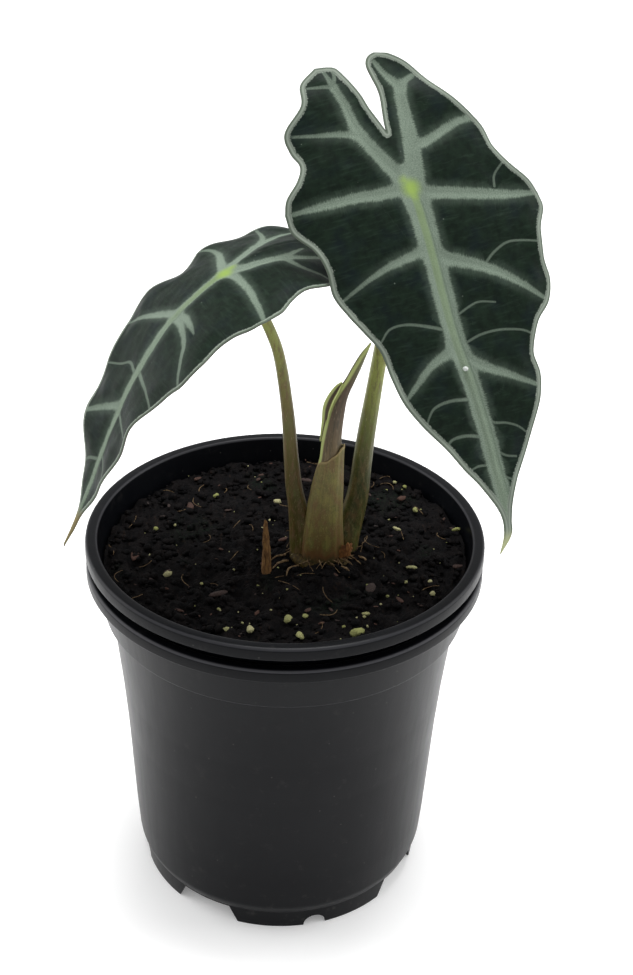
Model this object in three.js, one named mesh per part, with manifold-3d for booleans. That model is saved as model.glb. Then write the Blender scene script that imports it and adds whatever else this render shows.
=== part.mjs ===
// A young arrow-leaved aroid in two nested plastic nursery pots.
// Millimetres, +Z up. While it is built, the pots' axis is x = y = 0 and their feet stand at z = 0.
// The front of the plant looks along -Y.

import * as THREE from 'three';
import * as BufferGeometryUtils from 'three/addons/utils/BufferGeometryUtils.js';
import Module from 'manifold-3d';

const wasm = await Module();
wasm.setup();

// Driving dimensions of the pots
const LIP_OUTER_RADIUS = 77.5;
const LIP_INNER_RADIUS = 72.9;
const POT_HEIGHT = 145.8;
const LIP_DEPTH = 5;
const LIP_ROUND = 0.8;
const LIP_FLARE = 0.2;
const COLLAR_BOTTOM = 124.7;
const COLLAR_BOTTOM_RADIUS = 71.4;
const COLLAR_TOP_RADIUS = 73.4;
const WALL_THICKNESS = 0.8;
const FOOT_HEIGHT = 8.5;
const FOOT_RADIUS = 58.1;
const FOOT_THICKNESS = 1.2;
const FOOT_SLOPE = 0.5;
const FOOT_SHELF = { out: 1.4, up: 1.6 };
const MOULD_DRAFT = 0.2;
const SHOULDER_HEIGHT = 12.5;
const NEST_OFFSET = 9.6;
const POT_SEGMENTS = 40;
// Outside of the tapered wall, radius and height
const WALL = [[60.4, SHOULDER_HEIGHT], [62.4, 45], [65.2, 90], [68.6, COLLAR_BOTTOM]];

// Notches in the foot ring, angles in degrees from the front, counter-clockwise seen from above
const WIDE_NOTCH_ANGLE = 57;
const WIDE_NOTCH_WIDTH = 30;
const SMALL_NOTCH_ANGLE = 14.5;
const SMALL_NOTCH_WIDTH = 9;
const NOTCH_HEIGHT = 8;
const NOTCH_INSET = 1;
const NOTCH_FLARE = 3;
const NOTCH_REACH = { inwards: 14, outwards: 6, down: 1 };

// Drain holes in the floor: one in the middle, and one behind each notch
const MIDDLE_HOLE_RADIUS = 6;
const NOTCH_HOLE_RADIUS = 4.5;
const HOLE_CIRCLE_RADIUS = 42;

// Soil and plant
const GAP = 0.3;
const SOIL_LEVEL = 147.4;
const SOIL_EDGE_RADIUS = 71.4;
const SOIL_SLANT = { x: 0.02, y: -0.008 };
const SOIL_HEAP = { x: 14, y: -4, height: 1.2, spread: 500 };
const SOIL_LUMPS = { height: 0.6, alongX: 0.21, alongY: 0.19, shiftX: 1, shiftY: 2 };
const SOIL_RIPPLE = { height: 0.35, alongX: 0.5, alongY: 0.37 };
const LEAF_THICKNESS = 0.8;

// The left leaf hangs to the left and a little to the front; the right one faces the front.
// Pitch is the fall of the midrib below level, near and far are the rise of the two halves
// to the sides of it, all in degrees, at the stations PITCH_STATIONS and SIDE_STATIONS,
// which are shares of the leaf's length from the stalk's joint to the tip.
const PITCH_STATIONS = [-0.35, 0, 0.35, 0.7, 1];
const SIDE_STATIONS = [-0.35, 0, 0.3, 0.65, 1];
// The lobes reach back past the joint by less than this share of the leaf's length
const LOBE_REACH = 0.45;

// A blade is three strips that share their first ribs: the middle one along the midrib, and one
// along each lobe's vein. A row holds six numbers, three points on the flat leaf: where the rib
// leaves the vein, where it ends on one margin, and where it ends on the other. The first number
// of each point runs along the midrib from the joint to the tip, the second across it.
const LEFT_LEAF = {
  joint: [-22.9, -10, 267.4],
  heading: 208.6,
  length: 118,
  pitch: [-14, 25, 55, 68, 60],
  near: [-4, 1, 9, 15, -11],
  far: [-8, -14, -9, 5, -6],
  curl: [0.0018, 0.0005],
  middle: [
    [0, 0, 3, 37.5, -2, -36],
    [6, 0, 9, 37, 5, -32],
    [12, 0, 15, 33.5, 11, -30],
    [18, 0, 21, 32.5, 17, -32],
    [24, 0, 29, 35, 24, -35.5],
    [30, 0, 37, 34.5, 31, -35.5],
    [38, 0, 44, 29, 38, -31],
    [47, 0, 53, 25, 46, -25],
    [54, 0, 61, 21.5, 54, -22],
    [62, 0, 69, 20, 62, -20.5],
    [72, 0, 78, 15.5, 71, -19],
    [83, 0, 87, 11, 80, -14],
    [94, 0, 97, 6.5, 91, -9],
    [103, 0, 105, 3.5, 101, -5],
    [111, 0, 112, 1.6, 110, -2],
    [118, 0, 118, 0, 118, 0],
  ],
  nearLobe: [
    [0, 0, 3, 37.5, -14, 0],
    [-7, 4, -4, 35.5, -18, 1],
    [-13, 7, -10, 32, -22, 2],
    [-19, 9, -16, 30.5, -26, 2.7],
    [-24, 10.5, -23, 31.5, -30, 3.5],
    [-30, 12.5, -30, 29, -34, 5],
    [-35, 14.5, -36, 24, -36.5, 8],
    [-38.5, 16, -39, 19.5, -39, 13.5],
    [-40, 16.5, -40, 16.5, -40, 16.5],
  ],
  farLobe: [
    [0, 0, -2, -36, -14, 0],
    [-7, -3, -9, -35, -18, -1],
    [-13, -6, -15, -33, -22, -2],
    [-19, -8.5, -21, -31.5, -26, -3],
    [-25, -11, -27, -31, -30, -4.5],
    [-31, -13.5, -33, -29, -34, -6],
    [-37, -16, -38, -25, -38, -8.5],
    [-41, -17.5, -42, -21, -42, -13.5],
    [-43.5, -17.5, -43.5, -17.5, -43.5, -17.5],
  ],
};

const RIGHT_LEAF = {
  joint: [40.2, -6.7, 299.4],
  heading: -55.5,
  length: 130,
  pitch: [46, 54, 61, 65, 66],
  near: [20, 20, 20, 20, 20],
  far: [-20, -20, -20, -20, -20],
  curl: [0.002, 0.002],
  middle: [
    [0, 0, 13, 46, -3, -42.5],
    [6, 0.8, 18, 46.5, 4, -42],
    [12, 1, 25, 42.5, 12, -37],
    [18, 1, 34, 41, 20, -35],
    [23, 1, 42, 42, 29, -35],
    [28, 1, 49, 39, 37, -32],
    [36, 1, 55, 32.5, 44, -28.5],
    [46, 1, 64, 29, 52, -24.5],
    [54, 1, 72, 30, 62, -23],
    [61, 1.5, 79, 28, 71, -21],
    [72, 3, 87, 24, 80, -16.5],
    [84, 4, 97, 19, 90, -10],
    [95, 5.5, 106, 13, 99, -5],
    [105, 6.5, 113, 10, 108, 1],
    [115, 7, 120, 8.5, 117, 5],
    [124, 6.5, 125, 7.5, 124, 5],
    [131, 2, 131, 2, 131, 2],
  ],
  nearLobe: [
    [0, 0, 13, 46, -20, -2],
    [-7, 4.5, 8, 43.5, -24, -1.5],
    [-13, 6, 1, 37.5, -28, -0.5],
    [-19, 6, -6, 34, -32, 0.5],
    [-25, 6, -14, 32.5, -36, 0.8],
    [-31, 7, -24, 26, -40, 0.3],
    [-37, 7, -33, 19, -44, 0],
    [-42, 5, -42, 12, -46.5, 0.5],
    [-48, 2.5, -48, 2.5, -48, 2.5],
  ],
  farLobe: [
    [0, 0, -3, -42.5, -20, -2],
    [-7, -3.5, -8, -40.5, -25, -3.5],
    [-14, -7, -13, -35.5, -30, -5],
    [-20, -11, -18, -33, -35, -6],
    [-26, -12, -24, -34.5, -39.5, -7.5],
    [-32, -12, -31, -34, -43.5, -9],
    [-38, -13, -38, -26, -47, -10.5],
    [-44, -15, -45.5, -23.5, -48.5, -13],
    [-49.5, -17, -49.5, -17, -49.5, -17],
  ],
};

// Stalks: x, y, z and radius at each point of the centre line, from the foot up
const LEFT_PETIOLE = [
  [6, -3.2, 142, 3.8],
  [5.3, -3.5, 155, 3.7],
  [4.5, -2.6, 166, 3.5],
  [2.8, -1.9, 177, 3.15],
  [1.7, -2, 188, 2.8],
  [-0.1, -3.5, 210, 2.35],
  [-3.1, -6.5, 232, 2.1],
  [-6.4, -8.6, 244, 2],
  [-11.5, -10, 255, 1.9],
  [-18, -10.4, 263, 1.8],
  [-23, -10, 267.6, 1.7],
];
const RIGHT_PETIOLE = [
  [24.3, -1.5, 142, 3.5],
  [25, 0, 152, 3.7],
  [26.3, 2, 160, 3.8],
  [27.8, 3.5, 170, 3.85],
  [28.6, 4.5, 183, 3.7],
  [29.7, 5, 196, 3.4],
  [32.2, 5, 219, 2.9],
  [33.8, 4.3, 234, 2.7],
  [36.6, 2.2, 263, 2.4],
  [38.8, -3.4, 286.5, 2.1],
  [40.4, -6.6, 300.4, 1.9],
];
const SHEATH = [
  [14.5, -5, 143, 8.8],
  [14.6, -6.2, 156, 8],
  [15, -6, 168, 6.9],
  [15.6, -5, 180, 6.2],
  [16.4, -4.2, 190, 5.2],
  [17.4, -4, 201, 4.4],
];
const SHEATH_MOUTH = { point: [16, -4, 192.3], slope: 36 };
const NEW_LEAF = [
  [15, -4.6, 176, 3],
  [15.4, -3.9, 188, 3.6],
  [16.1, -3.6, 199, 4],
  [16.9, -3.5, 205, 3.9],
  [18, -3, 211, 3.5],
  [19.8, -2.5, 217, 2.7],
  [22.4, -2, 222.5, 2.1],
  [24.7, -1.5, 227.7, 1.8],
  [26.9, -1, 232.5, 1.3],
  [29.7, 0, 237.4, 0.4],
];
const DRY_STUB = [
  [-6.4, -17.6, 141, 1.9],
  [-6.8, -17.5, 155, 1.6],
  [-7.2, -17.2, 166, 1],
  [-7.3, -17, 171, 0.4],
];
const CORM = { centre: [14.5, -4, 141], radii: [13, 10.5, 11] };
const SHEATH_SCALE = { centre: [23.4, -8.8, 151.5], radii: [3.6, 0.9, 5], turn: 32, lean: 12 };

// Short roots that show at the foot of the plant, x, y, z and radius
const SURFACE_ROOTS = [
  [[5.5, -14.2, 148.6, 0.7], [2, -16.5, 148.6, 0.6], [1, -20, 147.4, 0.35]],
  [[1.6, -11.4, 148.9, 0.7], [-2, -13, 148.8, 0.6], [-4.6, -15.8, 147.6, 0.35]],
  [[0.4, -7.6, 149, 0.6], [-3, -9, 149, 0.5], [-6, -11, 147.6, 0.3]],
  [[22, -14.4, 148.8, 0.7], [24.6, -16.5, 148.8, 0.6], [24.8, -20.5, 147.6, 0.35]],
  [[28.6, -7, 149, 0.7], [31.2, -9.4, 149, 0.6], [33, -12.4, 147.8, 0.35]],
];

// Loose white and yellow grains on the soil: x, y, half length, half width
const PERLITE = [
  [-4.3, 34, 1.6, 1.3],
  [44, 12.7, 1.5, 0.9],
  [52, 29.7, 1.5, 1.1],
  [48.2, 46.5, 0.9, 0.8],
  [44, 49.5, 1.0, 0.8],
  [67.8, 14.3, 1.8, 1.0],
  [49, -14.7, 1.9, 0.9],
  [55.5, -23.1, 1.1, 0.9],
  [56.3, -30.7, 1.2, 1.0],
  [31.4, -44.5, 1.5, 0.8],
  [27.6, -56.4, 2.3, 1.7],
  [7.1, -59.3, 2.1, 1.6],
  [8.9, -46.6, 1.1, 1.0],
  [2.8, -49.1, 2.0, 1.7],
  [-10.8, -56, 1.9, 1.3],
  [-19.1, -56.5, 1.3, 1.1],
  [-6.2, -6.4, 1.2, 0.9],
  [-44, -22, 1.5, 1.2],
  [-52, 12, 1.3, 1.0],
  [-30, 38, 1.4, 1.1],
];
const PERLITE_FLATNESS = 0.8;
// Loose flakes of bark: x, y, half length, half width, turn in degrees
const BARK = [
  [66.5, -11.8, 1.9, 1.1, 20],
  [33, -28, 3.2, 1.6, 75],
  [-24, -34, 3.4, 1.5, 30],
  [-40, 30, 3.0, 1.6, 110],
  [8, 52, 3.2, 1.4, 160],
  [47, 38, 2.6, 1.3, 50],
  [-58, -8, 2.8, 1.5, 95],
];
const BARK_HALF_HEIGHT = 0.6;
// How uneven a grain is, and how much of its half height its middle stands above the soil
const GRAIN_WAVE = { height: 0.14, x: 5, y: 3, z: 4 };
const GRAIN_RISE = 0.35;

// How finely the shapes are divided
const WELD_DISTANCE = 1e-4;
const BLADE_CELLS = 4;
const MIDDLE_RIBS = 21;
const LOBE_RIBS = 9;
const PETIOLE_FORM = { steps: 18, sides: 8 };
const SHEATH_FORM = { steps: 7, sides: 14, flatten: 0.85 };
const YOUNG_FORM = { steps: 12, sides: 10 };
const STUB_FORM = { steps: 5, sides: 8 };
const ROOT_FORM = { steps: 5, sides: 6 };
const BALL_FORM = { around: 14, rings: 8 };
const HOLE_SIDES = 8;

const radians = THREE.MathUtils.degToRad;

// Value of a smooth curve through equally spaced values, t from 0 to 1
function splineAt(values, t) {
  const last = values.length - 1;
  const x = THREE.MathUtils.clamp(t, 0, 1) * last;
  const i = Math.min(Math.floor(x), last - 1);
  const u = x - i;
  const here = values[i];
  const next = values[i + 1];
  const before = i > 0 ? values[i - 1] : 2 * here - next;
  const after = i < last - 1 ? values[i + 2] : 2 * next - here;
  const slope = (next - before) / 2;
  const bend = before - 2.5 * here + 2 * next - after / 2;
  const twist = (3 * here - before - 3 * next + after) / 2;
  return here + slope * u + bend * u * u + twist * u ** 3;
}

// Value at x of a smooth curve through values that stand at uneven stations
function stationValue(stations, values, x) {
  const last = stations.length - 1;
  const clamped = THREE.MathUtils.clamp(x, stations[0], stations[last]);
  let i = 0;
  while (i < last - 1 && clamped > stations[i + 1]) {
    i += 1;
  }
  const share = (clamped - stations[i]) / (stations[i + 1] - stations[i]);
  return splineAt(values, (i + share) / last);
}

// Closed geometry with shared corners, ready for joining and cutting
function welded(geometry) {
  const bare = geometry.index ? geometry.toNonIndexed() : geometry.clone();
  for (const name of Object.keys(bare.attributes)) {
    if (name !== 'position') {
      bare.deleteAttribute(name);
    }
  }
  return BufferGeometryUtils.mergeVertices(bare, WELD_DISTANCE);
}

function toSolid(geometry) {
  const shared = welded(geometry);
  const corners = shared.index.array;
  const triangles = [];
  for (let i = 0; i < corners.length; i += 3) {
    const [a, b, c] = corners.subarray(i, i + 3);
    if (a !== b && b !== c && c !== a) {
      triangles.push(a, b, c);
    }
  }
  return new wasm.Manifold(new wasm.Mesh({
    numProp: 3,
    vertProperties: new Float32Array(shared.attributes.position.array),
    triVerts: new Uint32Array(triangles),
  }));
}

function toGeometry(solid) {
  const mesh = solid.getMesh();
  const geometry = new THREE.BufferGeometry();
  geometry.setAttribute('position', new THREE.BufferAttribute(mesh.vertProperties, mesh.numProp));
  geometry.setIndex(new THREE.BufferAttribute(mesh.triVerts, 1));
  return geometry;
}

// What is left of a solid after cutting the others from it
function cut(solid, tools) {
  return tools.reduce((left, tool) => left.subtract(tool), solid);
}

// The biggest of the separate bodies that a cut has left
function biggest(solid) {
  const bodies = solid.decompose();
  return bodies.reduce((most, body) => (body.volume() > most.volume() ? body : most));
}

function named(name, solid, material) {
  const geometry = toGeometry(solid).toNonIndexed();
  geometry.computeVertexNormals();
  const mesh = new THREE.Mesh(geometry, material);
  mesh.name = name;
  return mesh;
}

function plain(color, roughness) {
  return new THREE.MeshStandardMaterial({ color, roughness, metalness: 0 });
}

// Materials
const potPlastic = () => plain(0x1d1e20, 0.45);
const soilMaterial = () => plain(0x17130f, 0.95);
const leafMaterial = () => plain(0x2c3d34, 0.5);
const stalkMaterial = () => plain(0x7d7c4e, 0.55);
const sheathMaterial = () => plain(0x8b8258, 0.6);
const youngLeafMaterial = () => plain(0x75695a, 0.55);
const dryMaterial = () => plain(0x8a6a3c, 0.8);
const rootMaterial = () => plain(0xb9a07c, 0.75);
const perliteMaterial = () => plain(0xd9d6b4, 0.85);
const barkMaterial = () => plain(0x4a2e20, 0.9);

// Pots

// Outside radius of a pot's wall at a height above its feet
function wallRadius(z) {
  let i = 0;
  while (i < WALL.length - 2 && z > WALL[i + 1][1]) {
    i += 1;
  }
  const [lowRadius, low] = WALL[i];
  const [highRadius, high] = WALL[i + 1];
  return THREE.MathUtils.lerp(lowRadius, highRadius, (z - low) / (high - low));
}

// The nested pot's wall stays inside the outer pot's wall, which it stands deeper in
function nestedWallRadius(z) {
  const room = wallRadius(Math.min(z + NEST_OFFSET, COLLAR_BOTTOM)) - WALL_THICKNESS - GAP;
  return Math.min(room, wallRadius(z) - GAP);
}

// Half section of a pot, outside from the foot up and inside from the lip down
function potOutline(nested) {
  const slack = nested ? GAP : 0;
  const footSlack = nested ? 2 * GAP : 0;
  const radiusAt = nested ? nestedWallRadius : wallRadius;
  const lipBottom = POT_HEIGHT - LIP_DEPTH;
  const heights = WALL.map(([, z]) => z);
  const footOuter = FOOT_RADIUS - footSlack;
  const outside = [
    [footOuter - FOOT_THICKNESS, 0],
    [footOuter, 0],
    [footOuter + FOOT_SLOPE, FOOT_HEIGHT],
    [footOuter + FOOT_SHELF.out, FOOT_HEIGHT + FOOT_SHELF.up],
    ...heights.map((z) => [radiusAt(z), z]),
    [COLLAR_BOTTOM_RADIUS - slack, COLLAR_BOTTOM],
    [COLLAR_TOP_RADIUS - slack, lipBottom],
    [LIP_OUTER_RADIUS + LIP_FLARE, lipBottom],
    [LIP_OUTER_RADIUS, POT_HEIGHT - LIP_ROUND],
    [LIP_OUTER_RADIUS - LIP_ROUND, POT_HEIGHT],
  ];
  const step = COLLAR_BOTTOM + WALL_THICKNESS;
  const inside = [
    [LIP_INNER_RADIUS + LIP_ROUND, POT_HEIGHT],
    [LIP_INNER_RADIUS, POT_HEIGHT - LIP_ROUND],
    [COLLAR_BOTTOM_RADIUS - slack - WALL_THICKNESS, step],
    [radiusAt(COLLAR_BOTTOM) - WALL_THICKNESS, step],
    ...heights.slice(0, -1).reverse().map((z) => [radiusAt(z) - WALL_THICKNESS, z]),
    [footOuter + MOULD_DRAFT, FOOT_HEIGHT + WALL_THICKNESS],
  ];
  return { outside, inside };
}

function lathe(outline, segments) {
  const points = outline.map(([radius, z]) => new THREE.Vector2(radius, z));
  const geometry = new THREE.LatheGeometry(points, segments);
  geometry.rotateX(Math.PI / 2);
  return geometry;
}

// Point on a circle about the pots' axis, angle from the front, counter-clockwise from above
function polar(radius, degrees, z) {
  const angle = radians(degrees);
  return new THREE.Vector3(radius * Math.sin(angle), -radius * Math.cos(angle), z);
}

// A notch tool: a slope-sided block that reaches through the foot ring
function wideNotch(degrees) {
  const halfTop = FOOT_RADIUS * Math.sin(radians(WIDE_NOTCH_WIDTH / 2)) - NOTCH_INSET;
  const halfBottom = halfTop + NOTCH_FLARE;
  const shape = new THREE.Shape([
    new THREE.Vector2(-halfBottom, -NOTCH_REACH.down),
    new THREE.Vector2(halfBottom, -NOTCH_REACH.down),
    new THREE.Vector2(halfTop, NOTCH_HEIGHT),
    new THREE.Vector2(-halfTop, NOTCH_HEIGHT),
  ]);
  return notchBlock(shape, degrees);
}

function smallNotch(degrees) {
  const half = FOOT_RADIUS * Math.sin(radians(SMALL_NOTCH_WIDTH / 2));
  const shape = new THREE.Shape();
  shape.moveTo(-half, -NOTCH_REACH.down);
  shape.lineTo(half, -NOTCH_REACH.down);
  shape.lineTo(half, NOTCH_HEIGHT - half);
  shape.absarc(0, NOTCH_HEIGHT - half, half, 0, Math.PI, false);
  return notchBlock(shape, degrees);
}

function notchBlock(shape, degrees) {
  const depth = NOTCH_REACH.inwards + NOTCH_REACH.outwards;
  const block = new THREE.ExtrudeGeometry(shape, { depth, bevelEnabled: false, curveSegments: 5 });
  block.rotateX(Math.PI / 2);
  block.translate(0, NOTCH_REACH.inwards - FOOT_RADIUS, 0);
  block.rotateZ(radians(degrees));
  return toSolid(block);
}

function drainHole(centre, radius) {
  const tool = new THREE.CylinderGeometry(radius, radius, FOOT_HEIGHT, HOLE_SIDES);
  tool.rotateX(Math.PI / 2);
  tool.translate(centre.x, centre.y, FOOT_HEIGHT);
  return toSolid(tool);
}

function pot(name, nested) {
  const { outside, inside } = potOutline(nested);
  const underside = FOOT_HEIGHT;
  const floorTop = FOOT_HEIGHT + WALL_THICKNESS;
  const ringInside = outside[0][0] - MOULD_DRAFT;
  const outline = [[0, underside], [ringInside, underside], ...outside, ...inside, [0, floorTop]];
  const tools = [drainHole(new THREE.Vector3(), MIDDLE_HOLE_RADIUS)];
  for (let quarter = 0; quarter < 4; quarter += 1) {
    const turn = quarter * 90;
    tools.push(wideNotch(WIDE_NOTCH_ANGLE + turn));
    tools.push(smallNotch(SMALL_NOTCH_ANGLE + turn));
    for (const angle of [WIDE_NOTCH_ANGLE + turn, SMALL_NOTCH_ANGLE + turn]) {
      tools.push(drainHole(polar(HOLE_CIRCLE_RADIUS, angle, 0), NOTCH_HOLE_RADIUS));
    }
  }
  const solid = cut(toSolid(lathe(outline, POT_SEGMENTS)), tools);
  const mesh = named(name, solid, potPlastic());
  mesh.position.z = nested ? NEST_OFFSET : 0;
  return mesh;
}

// Stalks and other round, tapering pieces

function centreLine(points) {
  const places = points.map(([x, y, z]) => new THREE.Vector3(x, y, z));
  return new THREE.CatmullRomCurve3(places, false, 'centripetal');
}

// A closed round bar along a curve; extra widens it all over, for cutting room in a neighbour
function stalk(points, { steps, sides, extra = 0, flatten = 1 }) {
  const curve = centreLine(points);
  const frames = curve.computeFrenetFrames(steps, false);
  const radii = points.map((point) => point[3]);
  const bar = new THREE.CylinderGeometry(1, 1, 1, sides, steps);
  const position = bar.attributes.position;
  const corner = new THREE.Vector3();
  for (let i = 0; i < position.count; i += 1) {
    corner.fromBufferAttribute(position, i);
    const t = THREE.MathUtils.clamp(0.5 - corner.y, 0, 1);
    const ring = Math.round(t * steps);
    const along = curve.getUtoTmapping(ring / steps);
    const radius = splineAt(radii, along) + extra;
    const end = ring === 0 ? -extra : (ring === steps ? extra : 0);
    const point = curve.getPointAt(ring / steps);
    point.addScaledVector(frames.normals[ring], corner.x * radius);
    point.addScaledVector(frames.binormals[ring], corner.z * radius * flatten);
    point.addScaledVector(frames.tangents[ring], end);
    position.setXYZ(i, point.x, point.y, point.z);
  }
  return toSolid(bar);
}

// Blades

function rotated(vector, towards, angle) {
  return vector.clone().multiplyScalar(Math.cos(angle)).addScaledVector(towards, Math.sin(angle));
}

// The midrib's course: its direction falls along the leaf by the pitch at each station
function midribCourse(leaf) {
  const step = 1;
  const reach = Math.ceil(leaf.length * LOBE_REACH);
  const spare = 4;
  const heading = new THREE.Vector3(Math.cos(radians(leaf.heading)), Math.sin(radians(leaf.heading)), 0);
  const pitchAt = (a) => radians(stationValue(PITCH_STATIONS, leaf.pitch, a / leaf.length));
  const directionAt = (a) => rotated(heading, new THREE.Vector3(0, 0, -1), pitchAt(a));
  const joint = new THREE.Vector3(...leaf.joint);
  const course = new Map([[0, joint]]);
  for (let a = 0; a < leaf.length + spare; a += step) {
    course.set(a + step, course.get(a).clone().addScaledVector(directionAt(a + step / 2), step));
  }
  for (let a = 0; a > -reach; a -= step) {
    course.set(a - step, course.get(a).clone().addScaledVector(directionAt(a - step / 2), -step));
  }
  return { heading, pitchAt, pointAt: (a) => pointBetween(course, a) };
}

function pointBetween(course, a) {
  const low = Math.floor(a);
  return course.get(low).clone().lerp(course.get(low + 1), a - low);
}

// Maps a point of the flat leaf to its place on the bent one
function leafSurface(leaf) {
  const { heading, pitchAt, pointAt } = midribCourse(leaf);
  const across = new THREE.Vector3(-heading.y, heading.x, 0);
  const up = new THREE.Vector3(0, 0, 1);
  const foldWidth = 1.5;
  return (a, b) => {
    const normal = rotated(up, heading, pitchAt(a));
    const station = a / leaf.length;
    const near = radians(stationValue(SIDE_STATIONS, leaf.near, station));
    const far = radians(stationValue(SIDE_STATIONS, leaf.far, station));
    const nearShare = 1 / (1 + Math.exp(-b / foldWidth));
    const blend = (nearValue, farValue) => nearValue * nearShare + farValue * (1 - nearShare);
    const side = b * blend(Math.cos(near), Math.cos(far));
    const lift = (Math.sqrt(b * b + 1) - 1) * blend(Math.sin(near), Math.sin(far));
    const droop = blend(leaf.curl[0], leaf.curl[1]) * b * b;
    return pointAt(a).addScaledVector(across, side).addScaledVector(normal, lift - droop);
  };
}

// Triangles of one strip's upper face, as a list of corner points
function stripFace(rows, surface, { stations, cells, flip }) {
  const columns = [0, 1, 2, 3, 4, 5].map((k) => rows.map((row) => row[k]));
  const grid = [];
  for (let i = 0; i <= stations; i += 1) {
    const t = i / stations;
    const [veinA, veinB, oneA, oneB, otherA, otherB] = columns.map((column) => splineAt(column, t));
    const line = [];
    for (let j = -cells; j <= cells; j += 1) {
      const share = Math.abs(j) / cells;
      const a = THREE.MathUtils.lerp(veinA, j > 0 ? oneA : otherA, share);
      const b = THREE.MathUtils.lerp(veinB, j > 0 ? oneB : otherB, share);
      line.push(surface(a, b));
    }
    grid.push(line);
  }
  const corners = [];
  for (let i = 0; i < stations; i += 1) {
    for (let j = 0; j < 2 * cells; j += 1) {
      const [p, q, r, s] = [grid[i][j], grid[i][j + 1], grid[i + 1][j + 1], grid[i + 1][j]];
      corners.push(...(flip ? [p, r, q, p, s, r] : [p, q, r, p, r, s]));
    }
  }
  return corners;
}

// Gives a face a thickness: the same face again below it, turned over, and a rim around the edge
function thickened(corners, above, below) {
  const face = welded(new THREE.BufferGeometry().setFromPoints(corners));
  const index = Array.from(face.index.array);
  const triangles = [];
  for (let i = 0; i < index.length; i += 3) {
    const [a, b, c] = index.slice(i, i + 3);
    if (a !== b && b !== c && c !== a) {
      triangles.push([a, b, c]);
    }
  }
  face.setIndex(triangles.flat());
  face.computeVertexNormals();
  const { position, normal } = face.attributes;
  const count = position.count;
  const points = [];
  for (const offset of [above, -below]) {
    for (let i = 0; i < count; i += 1) {
      const point = new THREE.Vector3().fromBufferAttribute(position, i);
      points.push(point.addScaledVector(new THREE.Vector3().fromBufferAttribute(normal, i), offset));
    }
  }
  const edges = new Set(triangles.flatMap(([a, b, c]) => [`${a} ${b}`, `${b} ${c}`, `${c} ${a}`]));
  const faces = [...triangles];
  for (const [a, b, c] of triangles) {
    faces.push([a + count, c + count, b + count]);
    for (const [p, q] of [[a, b], [b, c], [c, a]]) {
      if (!edges.has(`${q} ${p}`)) {
        faces.push([q, p, p + count], [q, p + count, q + count]);
      }
    }
  }
  const solid = new THREE.BufferGeometry().setFromPoints(points);
  solid.setIndex(faces.flat());
  return solid;
}

// The whole blade; extra widens it above and below, for cutting room in its stalk
function blade(leaf, extra = 0) {
  const surface = leafSurface(leaf);
  const lobe = { stations: LOBE_RIBS, cells: BLADE_CELLS };
  const corners = [
    ...stripFace(leaf.middle, surface, { stations: MIDDLE_RIBS, cells: BLADE_CELLS, flip: false }),
    ...stripFace(leaf.nearLobe, surface, { ...lobe, flip: true }),
    ...stripFace(leaf.farLobe, surface, { ...lobe, flip: false }),
  ];
  return toSolid(thickened(corners, extra, LEAF_THICKNESS + extra));
}

// Soil and what lies on it

// Height of the soil: a little higher to the right, heaped at the plant, and lumpy
function soilHeight(x, y) {
  const slant = SOIL_SLANT.x * x + SOIL_SLANT.y * y;
  const fromHeap = (x - SOIL_HEAP.x) ** 2 + (y - SOIL_HEAP.y) ** 2;
  const heap = SOIL_HEAP.height * Math.exp(-fromHeap / SOIL_HEAP.spread);
  const { alongX, alongY, shiftX, shiftY } = SOIL_LUMPS;
  const lumps = SOIL_LUMPS.height * Math.sin(alongX * x + shiftX) * Math.sin(alongY * y + shiftY);
  const ripple = SOIL_RIPPLE.height * Math.sin(SOIL_RIPPLE.alongX * x + SOIL_RIPPLE.alongY * y);
  return SOIL_LEVEL + slant + heap + lumps + ripple;
}

function soilBody() {
  const { inside } = potOutline(true);
  const wall = inside.slice(2).reverse().map(([radius, z]) => [radius - GAP, z + NEST_OFFSET]);
  wall[0][1] += GAP;
  const ringStep = 14;
  const outline = [[0, wall[0][1]], ...wall];
  for (let radius = SOIL_EDGE_RADIUS; radius > ringStep / 2; radius -= ringStep) {
    outline.push([radius, SOIL_LEVEL]);
  }
  outline.push([0, SOIL_LEVEL]);
  const geometry = lathe(outline, POT_SEGMENTS);
  const position = geometry.attributes.position;
  for (let i = 0; i < position.count; i += 1) {
    if (Math.abs(position.getZ(i) - SOIL_LEVEL) < 1e-3) {
      position.setZ(i, soilHeight(position.getX(i), position.getY(i)));
    }
  }
  return toSolid(geometry);
}

// An uneven grain: a low ball whose corners are pushed in and out by a fixed wave
function grain([x, y, halfLength, halfWidth, turn = 40 * x], halfHeight, extra = 0) {
  const ball = new THREE.IcosahedronGeometry(1, 0);
  const position = ball.attributes.position;
  for (let i = 0; i < position.count; i += 1) {
    const corner = new THREE.Vector3().fromBufferAttribute(position, i);
    const phase = GRAIN_WAVE.x * corner.x + GRAIN_WAVE.y * corner.y + GRAIN_WAVE.z * corner.z + x;
    corner.multiplyScalar(1 + GRAIN_WAVE.height * Math.sin(phase));
    corner.multiply(new THREE.Vector3(halfLength + extra, halfWidth + extra, halfHeight + extra));
    position.setXYZ(i, corner.x, corner.y, corner.z);
  }
  ball.rotateZ(radians(turn));
  ball.translate(x, y, soilHeight(x, y) + GRAIN_RISE * halfHeight);
  return toSolid(ball);
}

function ellipsoid({ centre, radii, turn = 0, lean = 0 }, extra = 0) {
  const ball = new THREE.SphereGeometry(1, BALL_FORM.around, BALL_FORM.rings);
  ball.rotateX(Math.PI / 2);
  ball.scale(...radii.map((radius) => radius + extra));
  ball.rotateX(radians(lean));
  ball.rotateZ(radians(turn));
  ball.translate(...centre);
  return toSolid(ball);
}

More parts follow.
